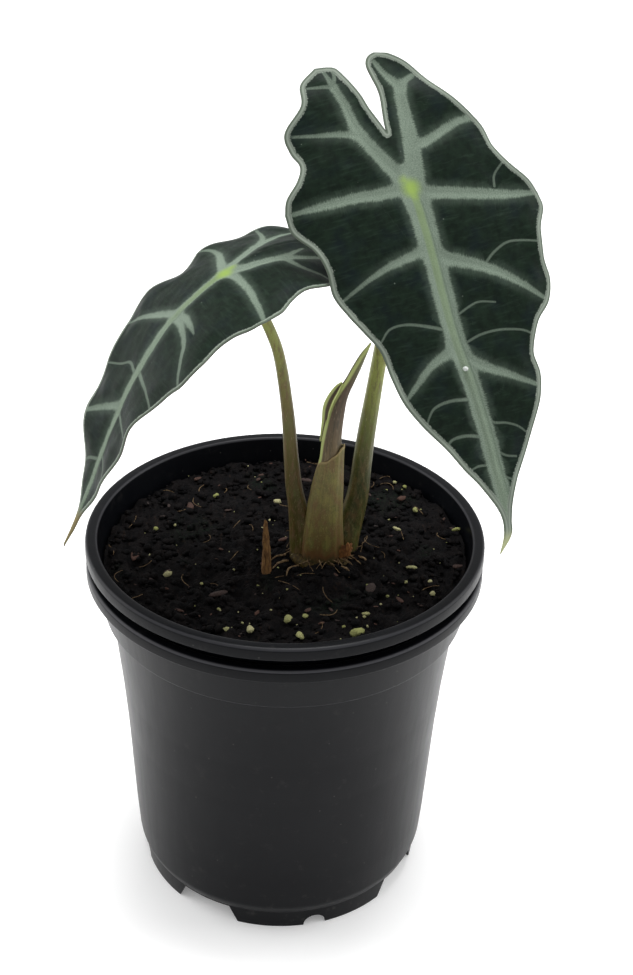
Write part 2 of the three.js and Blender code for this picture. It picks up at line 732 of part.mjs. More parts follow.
// A slab that takes away everything above the sheath's slanted mouth
function mouthCut() {
  const size = 40;
  const slab = new THREE.BoxGeometry(size, size, size);
  slab.translate(0, 0, size / 2);
  slab.rotateY(-radians(SHEATH_MOUTH.slope));
  slab.translate(...SHEATH_MOUTH.point);
  return toSolid(slab);
}

// The plant, put together from the sheath outwards: each piece leaves room for those before it
function plantPieces() {
  const roomFor = (points, form) => stalk(points, { ...form, extra: GAP });
  const sheathRoom = roomFor(SHEATH, SHEATH_FORM).subtract(mouthCut());
  const youngRoom = roomFor(NEW_LEAF, YOUNG_FORM);
  const sheath = cut(stalk(SHEATH, SHEATH_FORM), [mouthCut(), youngRoom]);
  const petiole = (points, leaf) => {
    const whole = stalk(points, PETIOLE_FORM);
    return biggest(cut(whole, [sheathRoom, youngRoom, blade(leaf, GAP)]));
  };
  const leftStalk = petiole(LEFT_PETIOLE, LEFT_LEAF);
  const rightStalk = petiole(RIGHT_PETIOLE, RIGHT_LEAF);
  const stalkRooms = [LEFT_PETIOLE, RIGHT_PETIOLE].map((points) => roomFor(points, PETIOLE_FORM));
  const corm = cut(ellipsoid(CORM), [sheathRoom, ...stalkRooms]);
  const crown = [sheathRoom, ...stalkRooms, ellipsoid(CORM, GAP)];
  const scale = cut(ellipsoid(SHEATH_SCALE), crown);
  const roots = SURFACE_ROOTS.map((points) => cut(stalk(points, ROOT_FORM), crown));
  const crownRooms = [
    ...crown,
    ellipsoid(SHEATH_SCALE, GAP),
    roomFor(DRY_STUB, STUB_FORM),
    ...SURFACE_ROOTS.map((points) => roomFor(points, ROOT_FORM)),
  ];
  const meshes = [
    named('corm', corm, stalkMaterial()),
    named('leaf_sheath', sheath, sheathMaterial()),
    named('new_leaf', stalk(NEW_LEAF, YOUNG_FORM), youngLeafMaterial()),
    named('left_petiole', leftStalk, stalkMaterial()),
    named('right_petiole', rightStalk, stalkMaterial()),
    named('left_leaf', blade(LEFT_LEAF), leafMaterial()),
    named('right_leaf', blade(RIGHT_LEAF), leafMaterial()),
    named('dry_stub', stalk(DRY_STUB, STUB_FORM), dryMaterial()),
    named('sheath_scale', scale, dryMaterial()),
    ...roots.map((root, i) => named(`surface_root_${i + 1}`, root, rootMaterial())),
  ];
  return { meshes, crownRooms };
}

function soilPieces(crownRooms) {
  const perlite = (entry, extra) => grain(entry, PERLITE_FLATNESS * entry[3], extra);
  const flake = (entry, extra) => grain(entry, BARK_HALF_HEIGHT, extra);
  const rooms = [
    ...PERLITE.map((entry) => perlite(entry, GAP)),
    ...BARK.map((entry) => flake(entry, GAP)),
  ];
  const soil = cut(soilBody(), [...crownRooms, ...rooms]);
  return [
    named('soil', soil, soilMaterial()),
    ...PERLITE.map((entry, i) => named(`perlite_${i + 1}`, perlite(entry), perliteMaterial())),
    ...BARK.map((entry, i) => named(`bark_chip_${i + 1}`, flake(entry), barkMaterial())),
  ];
}

// The whole object, moved so that the middle of its lowest plane is the origin
const plant = plantPieces();
const object = new THREE.Group();
object.add(pot('outer_pot', false), pot('inner_pot', true));
object.add(...soilPieces(plant.crownRooms), ...plant.meshes);
const box = new THREE.Box3().setFromObject(object);
const middle = box.getCenter(new THREE.Vector3());
object.position.set(-middle.x, -middle.y, -box.min.z);

export default object;
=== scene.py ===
import math
import random

import bmesh
import bpy
import numpy as np
from mathutils import Matrix, Vector, noise


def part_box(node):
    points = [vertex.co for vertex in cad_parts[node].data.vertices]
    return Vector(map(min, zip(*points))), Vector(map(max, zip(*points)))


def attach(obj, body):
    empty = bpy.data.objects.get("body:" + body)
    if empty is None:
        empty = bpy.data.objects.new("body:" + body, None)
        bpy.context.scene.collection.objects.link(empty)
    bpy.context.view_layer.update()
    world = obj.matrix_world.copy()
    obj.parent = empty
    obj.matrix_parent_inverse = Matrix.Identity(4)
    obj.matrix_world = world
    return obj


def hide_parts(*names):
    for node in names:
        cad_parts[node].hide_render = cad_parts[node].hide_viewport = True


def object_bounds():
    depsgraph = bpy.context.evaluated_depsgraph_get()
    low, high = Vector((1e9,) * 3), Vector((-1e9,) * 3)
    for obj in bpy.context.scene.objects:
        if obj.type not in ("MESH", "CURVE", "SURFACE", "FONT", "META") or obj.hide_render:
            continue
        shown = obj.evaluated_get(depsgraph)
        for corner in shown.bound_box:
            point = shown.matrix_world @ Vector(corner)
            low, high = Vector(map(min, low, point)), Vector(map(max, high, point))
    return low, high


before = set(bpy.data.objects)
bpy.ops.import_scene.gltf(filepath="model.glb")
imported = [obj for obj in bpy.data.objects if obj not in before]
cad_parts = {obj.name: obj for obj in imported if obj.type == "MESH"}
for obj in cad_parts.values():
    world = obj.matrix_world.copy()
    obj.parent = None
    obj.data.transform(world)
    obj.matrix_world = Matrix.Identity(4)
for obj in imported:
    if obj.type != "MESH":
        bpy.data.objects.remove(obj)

CAD_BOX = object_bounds()
MM = 0.001
POT_LOW, POT_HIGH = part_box("outer_pot")
AXIS = np.array([(POT_LOW.x + POT_HIGH.x) / 2, (POT_LOW.y + POT_HIGH.y) / 2, 0])
SEED = 8
CLEARANCE = 1e-6

# The photograph's camera: focal length in pixels, distance and aim in millimetres, angles in degrees
IMAGE_SIZE = (633, 975)
FOCAL_PIXELS = 1600
CAMERA_DISTANCE = 613
CAMERA_ELEVATION = 31.2
CAMERA_ROLL = 1.8
CAMERA_AIM = (11.5, 0, 175)
SENSOR = 36
CLIP = (0.05, 30)

# The studio, in metres and watts: each light's name, place, width and height, and power
LIGHTS = (
    ("top_softbox", (0.05, 0.2, 1.6), (0.8, 0.6), 24),
    ("left_softbox", (-1.2, 0.35, 0.75), (0.9, 1.2), 9),
    ("right_softbox", (1.2, 0.25, 0.7), (0.9, 1.2), 9),
)
LIGHT_AIM = (0, 0, 0.15)
WORLD_STRENGTH = 0.72
FLOOR_TINTS = ((0.9, 0.9, 0.9, 1), (0.93, 0.93, 0.93, 1))
FLOOR_GLOW = 0.17
FLOOR_RADIUS = 9

# Pots
LIP_OUTER_RADIUS = 77.5
LIP_INNER_RADIUS = 72.9
LIP_DEPTH = 5
LIP_FLARE = 0.2
POT_HEIGHT = 145.8
COLLAR_BOTTOM = 124.7
COLLAR_RADII = (71.4, 73.4)
WALL_THICKNESS = 0.8
FOOT_HEIGHT = 8.5
FOOT_RADIUS = 58.1
FOOT_THICKNESS = 1.2
WALL = ((60.4, 12.5), (61.3, 25), (62.4, 45), (63.7, 70), (65.2, 90), (68.6, COLLAR_BOTTOM))
NEST_OFFSET = 9.6
GAP = 0.3
WIDE_NOTCH = {"angle": 60.7, "width": 23.4, "height": 8, "inset": 1, "flare": 3.9}
SMALL_NOTCH = {"angle": 16.2, "width": 9, "height": 5}
NOTCH_CUT = {"depth": 8, "below": 1}
HOLES = {"middle": 6, "outer": 4.5, "circle": 42, "reach": 3}
POT_SEGMENTS = 224
POT_SHARP_ANGLE = 38
# How far below a lip's top its painted highlight line lies, in millimetres
HIGHLIGHT_LINE_DROP = 0.5

# Soil
SOIL_LEVEL = 147.4
SOIL_RADIUS = 70.9
SOIL_BOTTOM = 20
SOIL_GRID = {"rings": 120, "segments": 300, "crowding": 0.8, "side_rings": 8, "side_top": 6}
SOIL_EDGE = {"width": 5, "drop": 1.2}
SOIL_RELIEF = 0.9
CLODS = {"size": 7, "height": 1.7}
GRIT = {"size": 2.2, "height": 0.9}
OPEN_RADIUS = 69
CROWN = (14.5, -4)

# Scattered bits: how many, how near the plant they may lie, and their smallest size with the spread
# above it and the power that keeps most of them small
CRUMBS = {"count": 1700, "clear": 9, "size": (0.45, 1.9, 2.6), "shape": (1, 0.8, 0.65)}
CRUMB_LIFT = (-0.6, 0.2)
SMALL_PERLITE = {"count": 90, "clear": 12, "size": (0.22, 0.5, 2), "shape": (1, 0.8, 0.7)}
SMALL_BARK = {"count": 70, "clear": 12, "size": (0.6, 1.5, 2), "shape": (1, 0.45, 0.25)}
FIBRES = {"count": 46, "clear": 12, "length": (4, 11), "bend": 1.2, "radius": 0.09, "spread": 0.05}
CROWN_ROOTS = {
    "count": 34, "bend": 1.3, "start": (7, 9.5), "length": (2.5, 7), "rise": (0.3, 1.6),
    "radius": (0.16, 0.36), "stretch": 1.15,
}
ROOT_SLIMNESS = 0.62

# The leaves' tables: how the blade bends, and rows of three points of the flat leaf, which are
# where a rib leaves its vein, where it meets one margin, and where it meets the other. In each
# point the first number runs along the midrib from the stalk's joint, the second across it.
PITCH_STATIONS = (-0.35, 0, 0.35, 0.7, 1)
SIDE_STATIONS = (-0.35, 0, 0.3, 0.65, 1)
LEFT_LEAF = {
    "joint": (-22.9, -10, 267.4),
    "heading": 208.6,
    "length": 118,
    "pitch": (-14, 25, 55, 68, 60),
    "near": (-4, 1, 9, 15, -11),
    "far": (-8, -14, -9, 5, -6),
    "curl": (0.0018, 0.0005),
    "lobes_overlap": True,
    "tip_from": 101,
    "middle": (
        (0, 0, 3, 37.5, -2, -36),
        (6, 0, 9, 37, 5, -32),
        (12, 0, 15, 33.5, 11, -30),
        (18, 0, 21, 32.5, 17, -32),
        (24, 0, 29, 35, 24, -35.5),
        (30, 0, 37, 34.5, 31, -35.5),
        (38, 0, 44, 29, 38, -31),
        (47, 0, 53, 25, 46, -25),
        (54, 0, 61, 21.5, 54, -22),
        (62, 0, 69, 20, 62, -20.5),
        (72, 0, 78, 15.5, 71, -19),
        (83, 0, 87, 11, 80, -14),
        (94, 0, 97, 5.2, 91, -8),
        (103, 0, 104, 1.5, 102, -2.2),
        (111, 0, 111, 0.8, 111, -0.8),
        (118, 0, 118, 0, 118, 0),
    ),
    "near_lobe": (
        (0, 0, 3, 37.5, -14, 0),
        (-7, 4, -4, 35.5, -18, -0.4),
        (-13, 7, -10, 32, -22, -0.8),
        (-19, 9, -16, 30.5, -26, -0.8),
        (-24, 10.5, -23, 31.5, -30, -0.2),
        (-30, 12.5, -30, 29, -34, 2.4),
        (-35, 14.5, -36, 24, -36.5, 6.5),
        (-38.5, 16, -39, 19.5, -39, 13.5),
        (-40, 16.5, -40, 16.5, -40, 16.5),
    ),
    "far_lobe": (
        (0, 0, -2, -36, -14, 0),
        (-7, -3, -9, -35, -18, 0.4),
        (-13, -6, -15, -33, -22, 0.8),
        (-19, -8.5, -21, -31.5, -26, 0.6),
        (-25, -11, -27, -31, -30, -1),
        (-31, -13.5, -33, -29, -34, -3.4),
        (-37, -16, -38, -25, -38, -8.5),
        (-41, -17.5, -42, -21, -42, -13.5),
        (-43.5, -17.5, -43.5, -17.5, -43.5, -17.5),
    ),
}
RIGHT_LEAF = {
    "joint": (40.2, -6.7, 299.4),
    "heading": -55.5,
    "length": 130,
    "pitch": (46, 54, 61, 65, 66),
    "near": (20, 20, 20, 20, 20),
    "far": (-20, -20, -20, -20, -20),
    "curl": (0.002, 0.002),
    "lobes_overlap": False,
    "tip_from": 122,
    "middle": (
        (0, 0, 13, 46, -3, -42.5),
        (6, 0.8, 18, 46.5, 4, -42),
        (12, 1, 25, 42.5, 12, -37),
        (18, 1, 34, 41, 20, -35),
        (23, 1, 42, 42, 29, -35),
        (28, 1, 49, 39, 37, -32),
        (36, 1, 55, 32.5, 44, -28.5),
        (46, 1, 64, 29, 52, -24.5),
        (54, 1, 72, 30, 62, -23),
        (61, 1.5, 79, 28, 71, -21),
        (72, 3, 87, 24, 80, -16.5),
        (84, 4, 97, 19, 90, -10),
        (95, 5.5, 106, 13, 99, -5),
        (105, 6.5, 113, 10, 108, 1),
        (115, 7, 120, 8.5, 117, 5),
        (124, 6.5, 125, 7.5, 124, 5),
        (131, 2, 131, 2, 131, 2),
    ),
    "near_lobe": (
        (0, 0, 13, 46, -20, -2),
        (-7, 4.5, 8, 43.5, -24, -1.5),
        (-13, 6, 1, 37.5, -28, -0.5),
        (-19, 6, -6, 34, -32, 0.5),
        (-25, 6, -14, 32.5, -36, 0.8),
        (-31, 7, -24, 26, -40, 0.3),
        (-37, 7, -33, 19.5, -44, 0),
        (-42, 6, -41.5, 14.5, -46.3, 0.8),
        (-46, 5.2, -46.2, 9.2, -47.8, 2.4),
        (-48.4, 5, -48.4, 5, -48.4, 5),
    ),
    "far_lobe": (
        (0, 0, -3, -42.5, -20, -2),
        (-7, -3.5, -8, -40.5, -25, -3.5),
        (-14, -7, -13, -35.5, -30, -5),
        (-20, -11, -18, -33, -35, -6),
        (-26, -12, -24, -34.5, -39.5, -7.5),
        (-32, -12, -31, -34, -43.5, -9),
        (-38, -13, -38, -26, -47, -10.5),
        (-44, -15, -45.5, -23.5, -48.5, -13),
        (-49.5, -17, -49.5, -17, -49.5, -17),
    ),
}

# The pale veins on the flat leaves: points along and across, and the width at the start and the end
LEFT_MIDRIB = (
    ((-3, 0), (10, 0.3), (25, -0.2), (50, 0.5), (70, 0.5), (95, 0), (117, 0)),
    (4.4, 3.8, 3.6, 3.2, 2.6, 1),
)
LEFT_VEINS = (
    LEFT_MIDRIB,
    (((0, 0), (-1.5, 7.5), (-1, 18), (1.5, 30), (3.5, 37)), (3.8, 2.8, 2.2, 1.4)),
    (((23, 0), (24, 8), (28, 18), (34, 26), (39.5, 34)), (4, 2.2, 1.5, 1)),
    (((22, 2), (21.2, 8), (22, 14), (23, 18)), (3.2, 2.4, 0.6)),
    (((46.5, 0), (47.5, 10), (48.5, 17), (51, 25)), (1.8, 1.2, 0.8)),
    (((62.5, 0), (64, 10), (65.5, 19)), (1.5, 0.8)),
    (((79, 0), (82, 7), (86, 12)), (1.2, 0.7)),
    (((0, -1), (-2.5, -10), (-5.5, -20), (-6, -29), (-2, -36)), (4, 3.2, 2, 1)),
    (((22, 0), (28, -14), (33, -23), (38.5, -30.5)), (3.4, 2.4, 1)),
    (((48, 0), (46.5, -7.4), (49.5, -13), (53, -21)), (1.5, 1, 0.7)),
    (((60.5, 0), (66, -10), (71.5, -18.5)), (3, 1.6)),
    (((82, 0), (85, -7), (88, -10)), (1.4, 0.8)),
    (((0, 0), (-6, 3.5), (-13, 6), (-20, 8)), (5, 4, 3)),
    (((-20, 8), (-25, 6), (-29, 4.5)), (2.6, 1.2)),
    (((-20, 8), (-25, 10.5), (-31, 13), (-37, 15.5)), (3, 1.4)),
    (((-20, 8), (-21, 13), (-23, 19), (-28, 28)), (2.4, 1)),
    (((-1, -1), (-10, -5.5), (-18, -9.5), (-28, -14), (-40, -17.5)), (4.4, 3.4, 1.4)),
    (((-19, -10), (-24, -18), (-27, -29)), (2.8, 1.2)),
)
RIGHT_MIDRIB = (
    (
        (-3, 0), (7, 0.8), (15, 0.8), (28, 0.8), (40, 0.8), (50, 1), (59, 2), (71, 3.8),
        (87, 5.3), (100, 6.2), (110, 6.9), (118, 7), (124, 5.6), (130, 2.4),
    ),
    (10.4, 8.8, 7.8, 7.8, 7, 6.2, 6, 5.4, 3.4, 1),
)
RIGHT_VEINS = (
    RIGHT_MIDRIB,
    (
        ((-2, 1.5), (-4, 3), (-10.5, 4.5), (-18, 5.8), (-24, 6.5), (-30, 7.3), (-34, 8.3)),
        (7.4, 6, 4.8, 3.6),
    ),
    (((-34, 8.3), (-39.5, 5), (-45, 3.2)), (3, 1.5)),
    (((-34, 8.3), (-35.5, 11), (-37, 15)), (3, 1.5)),
    (((-13.5, 6), (-13.5, 10.5), (-15.8, 18.8), (-17, 24), (-17.3, 31)), (3.6, 2.8, 2.2)),
    (
        ((-3, -2), (-8.6, -5), (-15, -8), (-21, -10.7), (-27, -11.9), (-33, -12.2), (-41, -13.8)),
        (5, 4.4, 3.6, 2.4),
    ),
    (((-41, -13.8), (-42, -17), (-43.5, -22.5)), (1.6, 0.8)),
    (((-41, -13.8), (-44, -14.2), (-48, -15)), (2, 1)),
    (((-41, -13.8), (-44.5, -12), (-47, -12)), (1.6, 0.9)),
    (((-21.5, -11), (-23, -14), (-25, -19.7), (-26.3, -24.5), (-29, -32.5)), (3.8, 2.2, 1.6, 0.9)),
    (
        ((1, -1), (0, -4.5), (-0.5, -12.6), (-1.5, -19), (-1.9, -27), (-2.4, -34), (-2.6, -41.5)),
        (5.4, 4, 3.2, 1.3),
    ),
    (((1, 1), (3, 4.5), (7, 18.5), (11, 33.7), (12.8, 45.5)), (5.6, 4.4, 3.4, 1.4)),
    (((8, 29.5), (3.5, 31), (-0.4, 36)), (0.9, 0.7)),
    (((22, 1), (26, 4.5), (30, 13), (35, 22), (41, 30), (48, 38)), (5.8, 4.2, 3, 1.3)),
    (((31.5, 18.5), (28.7, 22.4), (26.5, 28), (27, 34), (29, 41)), (0.9, 0.8, 0.7)),
    (((56, 2), (60.7, 4), (65.5, 10), (70, 18), (76, 28)), (5, 3.4, 1.4)),
    (((56, 4.5), (54.4, 10.6), (54.4, 18), (56.3, 26), (59, 30)), (0.9, 0.8, 0.7)),
    (((46.5, 3), (44, 9.4), (43.5, 13.3), (45, 19)), (0.8, 0.6)),
    (((83, 6), (85, 9), (86, 13), (88, 17), (91, 20)), (1, 0.6)),
    (((94, 7), (97, 10.6), (98.5, 15)), (0.9, 0.7)),
    (((103, 8), (105, 10), (106, 12)), (0.9, 0.6)),
    (((18, 0), (22, -3), (24, -14), (27, -23), (31.5, -32.5)), (5.4, 3.2, 1.8, 1)),
    (((54, 0), (57.5, -2), (61, -9.6), (66.5, -16), (71, -21)), (5.2, 2.6, 1)),
    (((50, -1.5), (47, -8), (44.8, -14.5), (45, -20), (48, -23.3), (50, -25)), (1.2, 0.8, 0.5)),
    (((75, 2), (74, -5.4), (75, -11), (77.7, -13.6), (81, -15)), (1.3, 0.9, 0.5)),
    (((88.5, 3), (87, -2.8), (87.4, -7.5), (90, -10)), (1.3, 0.7)),
    (((99, 4), (98.5, 0), (99, -3)), (1, 0.6)),
)
LEFT_SPOTS = ((0, 0, 0.3), (-3, -0.8, 1.8))
RIGHT_SPOTS = ((0.3, 0.2, 0), (-2.6, -1.6, 1.9), (3, 0.6, 1.9))
WATER_DROP = {"along": 64.6, "across": 2.6, "height": 0.8, "shift": (0, -0.7, 0.55)}
BLADE_THICKNESS = 0.55
VEIN_FILLET = 0.6
THIN_WIDTH = 0.7
BOLD_WIDTH = 2
FINE_WIDTH = 1.8
FINE_REACH = 1.8
VEIN_SPACING = 10
FOLD_WIDTH = 1.5
LOBE_OVERLAP = 0.7
QUILT = {"height": 0.75, "reach": 4}
MIDRIB_RIDGE = {"height": 0.35, "width": 0.9}
FURROW = 0.35
SWAY = {"height": 0.35, "size": 14}
RUFFLE = {"height": 0.9, "length": 27, "reach": 9}
KEEL = 1.3
RIM_BULGE = 0.22
LOBE_SINKING = {"across": 4, "from": -13, "to": -17}
BATCH = 4000
BLADE_CELLS = 62
MIDDLE_RIBS = 174
LOBE_RIBS = 64

# Stalks: x, y, z and radius at each point of the centre line, from the foot up
LEFT_PETIOLE = (
    (6, -3.2, 142, 3.8), (5.3, -3.5, 155, 3.7), (4.5, -2.6, 166, 3.5), (2.8, -1.9, 177, 3.15),
    (1.7, -2, 188, 2.8), (-0.1, -3.5, 210, 2.35), (-3.1, -6.5, 232, 2.1), (-6.4, -8.6, 244, 2),
    (-11.5, -10, 255, 1.9), (-18, -10.4, 262.6, 1.8), (-22.6, -10.1, 266, 1.6),
)
RIGHT_PETIOLE = (
    (24.3, -1.5, 142, 3.5), (25, 0, 152, 3.7), (26.3, 2, 160, 3.8), (27.8, 3.5, 170, 3.85),
    (28.6, 4.5, 183, 3.7), (29.7, 5, 196, 3.4), (32.2, 5, 219, 2.9), (33.8, 4.3, 234, 2.7),
    (36.6, 2.2, 263, 2.4), (38.8, -3.4, 286.5, 2.1), (40, -6.2, 298, 1.7),
)
SHEATH = (
    (14.5, -5, 143, 8.8), (14.6, -6.2, 156, 8), (15, -6, 168, 6.9), (15.6, -5, 180, 6.2),
    (16.4, -4.2, 190, 5.2), (17.4, -4, 201, 4.4),
)
SHEATH_FLATNESS = 0.85
SHEATH_MOUTH = {"point": (16, -4, 192.3), "slope": 36}
SHEATH_SLIT = {"angle": -0.1, "width": 0.75, "depth": 0.3}
SHEATH_MESH = {"sides": 96, "rings": 90, "course": 240}
SHEATH_LENGTH = 58
SHEATH_RIM = ((0.2, 0.004), (0.45, 0.002))
SHEATH_INSIDE = {"rings": 26, "share": 0.28, "wall": 0.6, "taper": 0.02}
NEW_LEAF = (
    (15.1, -5.6, 172, 5.9), (15.8, -4.8, 182, 5.4), (16.4, -4.1, 191, 4.6), (16.6, -3.6, 200, 4),
    (18, -3, 211, 3.5), (19.8, -2.5, 217, 2.7), (22.4, -2, 222.5, 2.1), (24.7, -1.5, 227.7, 1.8),
    (26.9, -1, 232.5, 1.3), (29.5, -0.1, 237, 0.4),
)
NEW_LEAF_ROLL = {"seam": 0.35, "twist": 0.55, "step": 0.24, "lip": 0.05, "lip_width": 0.035}
FLAP_SHEET = {"width": 3.4, "thickness": 0.45, "curl": 1.9}
LEAF_FLAP = (
    (12.1, -4, 198), (12.6, -5, 207.1), (12.8, -5, 212.5), (14.1, -5, 216.8), (16.9, -4, 220.9),
    (19.4, -3, 222.5),
)
DRY_STUB = (
    (-6.4, -17.6, 141, 1.9), (-6.8, -17.5, 155, 1.6), (-7.2, -17.2, 166, 1), (-7.3, -17, 170.6, 0.4),
)
CORM = {"centre": (14.5, -4, 141), "radii": (13, 10.5, 10.6)}
CORM_COLLAR = {"height": 147.6, "spread": 2.6, "bulge": 0.24}
CORM_TOP = 151.2
SCALE = {"centre": (23.4, -8.8, 151.5), "radii": (3.6, 0.9, 5), "turn": 32, "lean": 12}
SURFACE_ROOTS = (
    ((5.5, -14.2, 148.6, 0.7), (2, -16.5, 148.6, 0.6), (1, -20, 147.4, 0.35)),
    ((1.6, -11.4, 148.9, 0.7), (-2, -13, 148.8, 0.6), (-4.6, -15.8, 147.6, 0.35)),
    ((0.4, -7.6, 149, 0.6), (-3, -9, 149, 0.5), (-6, -11, 147.6, 0.3)),
    ((22, -14.4, 148.8, 0.7), (24.6, -16.5, 148.8, 0.6), (24.8, -20.5, 147.6, 0.35)),
    ((28.6, -7, 149, 0.7), (31.2, -9.4, 149, 0.6), (33, -12.4, 147.8, 0.35)),
)

# Loose grains: x, y, half length, half width, and for the bark the turn in degrees
PERLITE = (
    (-4.3, 34, 1.6, 1.3), (44, 12.7, 1.5, 0.9), (52, 29.7, 1.5, 1.1), (48.2, 46.5, 0.9, 0.8),
    (44, 49.5, 1.0, 0.8), (67.8, 14.3, 1.8, 1.0), (49, -14.7, 1.9, 0.9), (55.5, -23.1, 1.1, 0.9),
    (56.3, -30.7, 1.2, 1.0), (31.4, -44.5, 1.5, 0.8), (27.6, -56.4, 2.3, 1.7), (7.1, -59.3, 2.1, 1.6),
    (8.9, -46.6, 1.1, 1.0), (2.8, -49.1, 2.0, 1.7), (-10.8, -56, 1.9, 1.3), (-19.1, -56.5, 1.3, 1.1),
    (-6.2, -6.4, 1.2, 0.9), (-44, -22, 1.5, 1.2), (-52, 12, 1.3, 1.0), (-30, 38, 1.4, 1.1),
)
PERLITE_FLATNESS = 0.8
BARK_THICKNESS = 0.6
BARK = (
    (66.5, -11.8, 1.9, 1.1, 20), (33, -28, 3.2, 1.6, 75), (-24, -34, 3.4, 1.5, 30),
    (-40, 30, 3.0, 1.6, 110), (8, 52, 3.2, 1.4, 160), (47, 38, 2.6, 1.3, 50), (-58, -8, 2.8, 1.5, 95),
)


# Places and meshes


def placed(points):
    """Points in millimetres about the pots' axis, as places in the frame."""
    return np.asarray(points, float) * MM + AXIS


def make_piece(name, points, faces, material, replaced=(), attributes=None, sharp=None):
    """A mesh object that rides on the object's one body and takes its finish from a slot."""
    mesh = bpy.data.meshes.new(name)
    low, high = (np.array(corner) for corner in CAD_BOX)
    points = np.clip(placed(points), low + CLEARANCE, high - CLEARANCE)
    mesh.from_pydata(points.tolist(), [], [list(map(int, face)) for face in faces])
    for key, values in (attributes or {}).items():
        layer = mesh.attributes.new(key, "FLOAT", "POINT")
        layer.data.foreach_set("value", np.asarray(values, np.float32))
    mesh.validate()
    mesh.materials.append(material)
    smooth_shading(mesh, sharp)
    piece = bpy.data.objects.new(name, mesh)
    bpy.context.scene.collection.objects.link(piece)
    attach(piece, "root")
    if replaced:
        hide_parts(*replaced)
    return piece


def smooth_shading(mesh, sharp=None):
    """Smooth all over, but for edges that bend by more than an angle in degrees."""
    mesh.polygons.foreach_set("use_smooth", [True] * len(mesh.polygons))
    if sharp:
        mesh.set_sharp_from_angle(angle=math.radians(sharp))


def spline_at(rows, t):
    """Rows of values, read at t from 0 to 1 along a smooth curve through them."""
    rows = np.asarray(rows, float)
    last = len(rows) - 1
    x = np.clip(t, 0, 1) * last
    i = np.minimum(np.floor(x).astype(int), last - 1)
    padded = np.concatenate([[2 * rows[0] - rows[1]], rows, [2 * rows[-1] - rows[-2]]])
    before, here, after, later = (padded[i + k] for k in range(4))
    u = x - i
    if rows.ndim > 1:
        u = u[..., None]
    slope = (after - before) / 2
    bend = before - 2.5 * here + 2 * after - later / 2
    twist = (3 * here - before - 3 * after + later) / 2
    return here + slope * u + bend * u**2 + twist * u**3


def station_value(stations, values, x):
    """A smooth value at x, given values at uneven stations."""
    places = np.arange(len(stations)) / (len(stations) - 1)
    return spline_at(values, np.interp(x, stations, places))


def smoothstep(low, high, x):
    t = np.clip((x - low) / (high - low), 0, 1)
    return t * t * (3 - 2 * t)


def grid_faces(rows, columns, closed=False, first=0):
    """Quads of a grid of points; closed joins the last column to the first."""
    faces = []
    for i in range(rows - 1):
        for j in range(columns if closed else columns - 1):
            k = (j + 1) % columns
            low, high = first + i * columns, first + (i + 1) * columns
            faces.append((low + j, low + k, high + k, high + j))
    return faces


def capped_faces(rows, columns):
    """Faces of closed rings of points, with a fan at each end about the two points after them."""
    faces = grid_faces(rows, columns, closed=True)
    start, end, last = rows * columns, rows * columns + 1, (rows - 1) * columns
    for j in range(columns):
        k = (j + 1) % columns
        faces += [(start, k, j), (end, last + j, last + k)]
    return faces


def full_turn(count):
    return np.arange(count) * math.tau / count


def turn_from(angles, other):
    """How far angles are from another one, the short way round."""
    return np.angle(np.exp(1j * (angles - other)))


def turned(points, degrees, axis=2):
    """Points turned about one of the three axes."""
    angle = math.radians(degrees)
    one, other = (axis + 1) % 3, (axis + 2) % 3
    spin = np.eye(3)
    spin[one, one] = spin[other, other] = math.cos(angle)
    spin[one, other], spin[other, one] = -math.sin(angle), math.sin(angle)
    return np.asarray(points, float) @ spin.T


def directions_along(line):
    """Unit vectors along a line of points."""
    direction = np.gradient(line, axis=0)
    return direction / np.linalg.norm(direction, axis=1, keepdims=True)


def about(centre, one, other, reach, angles, flatness=1.0):
    """Points at a reach and an angle about a centre, in the plane of two side vectors."""
    wide = one * (reach * np.cos(angles))[..., None]
    deep = other * (reach * np.sin(angles) * flatness)[..., None]
    return centre + wide + deep


def rings_about_axis(radii, heights, segments):
    """Rings of points about the pots' axis."""
    angles = full_turn(segments)
    x, y = np.outer(radii, np.sin(angles)), -np.outer(radii, np.cos(angles))
    return np.stack([x, y, np.outer(heights, np.ones(segments))], -1).reshape(-1, 3)


def joined(meshes):
    """Several (points, faces) as one."""
    points, faces, first = [], [], 0
    for some_points, some_faces in meshes:
        points.append(np.asarray(some_points, float))
        faces += [tuple(int(i) + first for i in face) for face in some_faces]
        first += len(some_points)
    return np.concatenate(points), faces


def numbered(name, rows):
    return [f"{name}_{i + 1}" for i in range(len(rows))]


def bell(away, width):
    return np.exp(-((away / width) ** 2))


def bumps(points, size, seed, depth=3):
    """Fractal noise about zero at each point, with features of a size in millimetres."""
    shift = Vector((17.1 * seed, -9.7 * seed, 5.3 * seed))
    return np.array([noise.fractal(Vector(p) / size + shift, 0.9, 2.0, depth) for p in points])


def roughened(points, height, size, seed):
    return points + (height * bumps(points, size, seed))[:, None]


def vertex_normals(points, triangles):
    a, b, c = (points[triangles[:, k]] for k in range(3))
    across = np.cross(b - a, c - a)
    normals = np.zeros_like(points)
    for k in range(3):
        np.add.at(normals, triangles[:, k], across)
    return normals / np.maximum(np.linalg.norm(normals, axis=1, keepdims=True), 1e-12)


# Materials. The size of a noise is in millimetres, and lengths that a material reads are in metres.


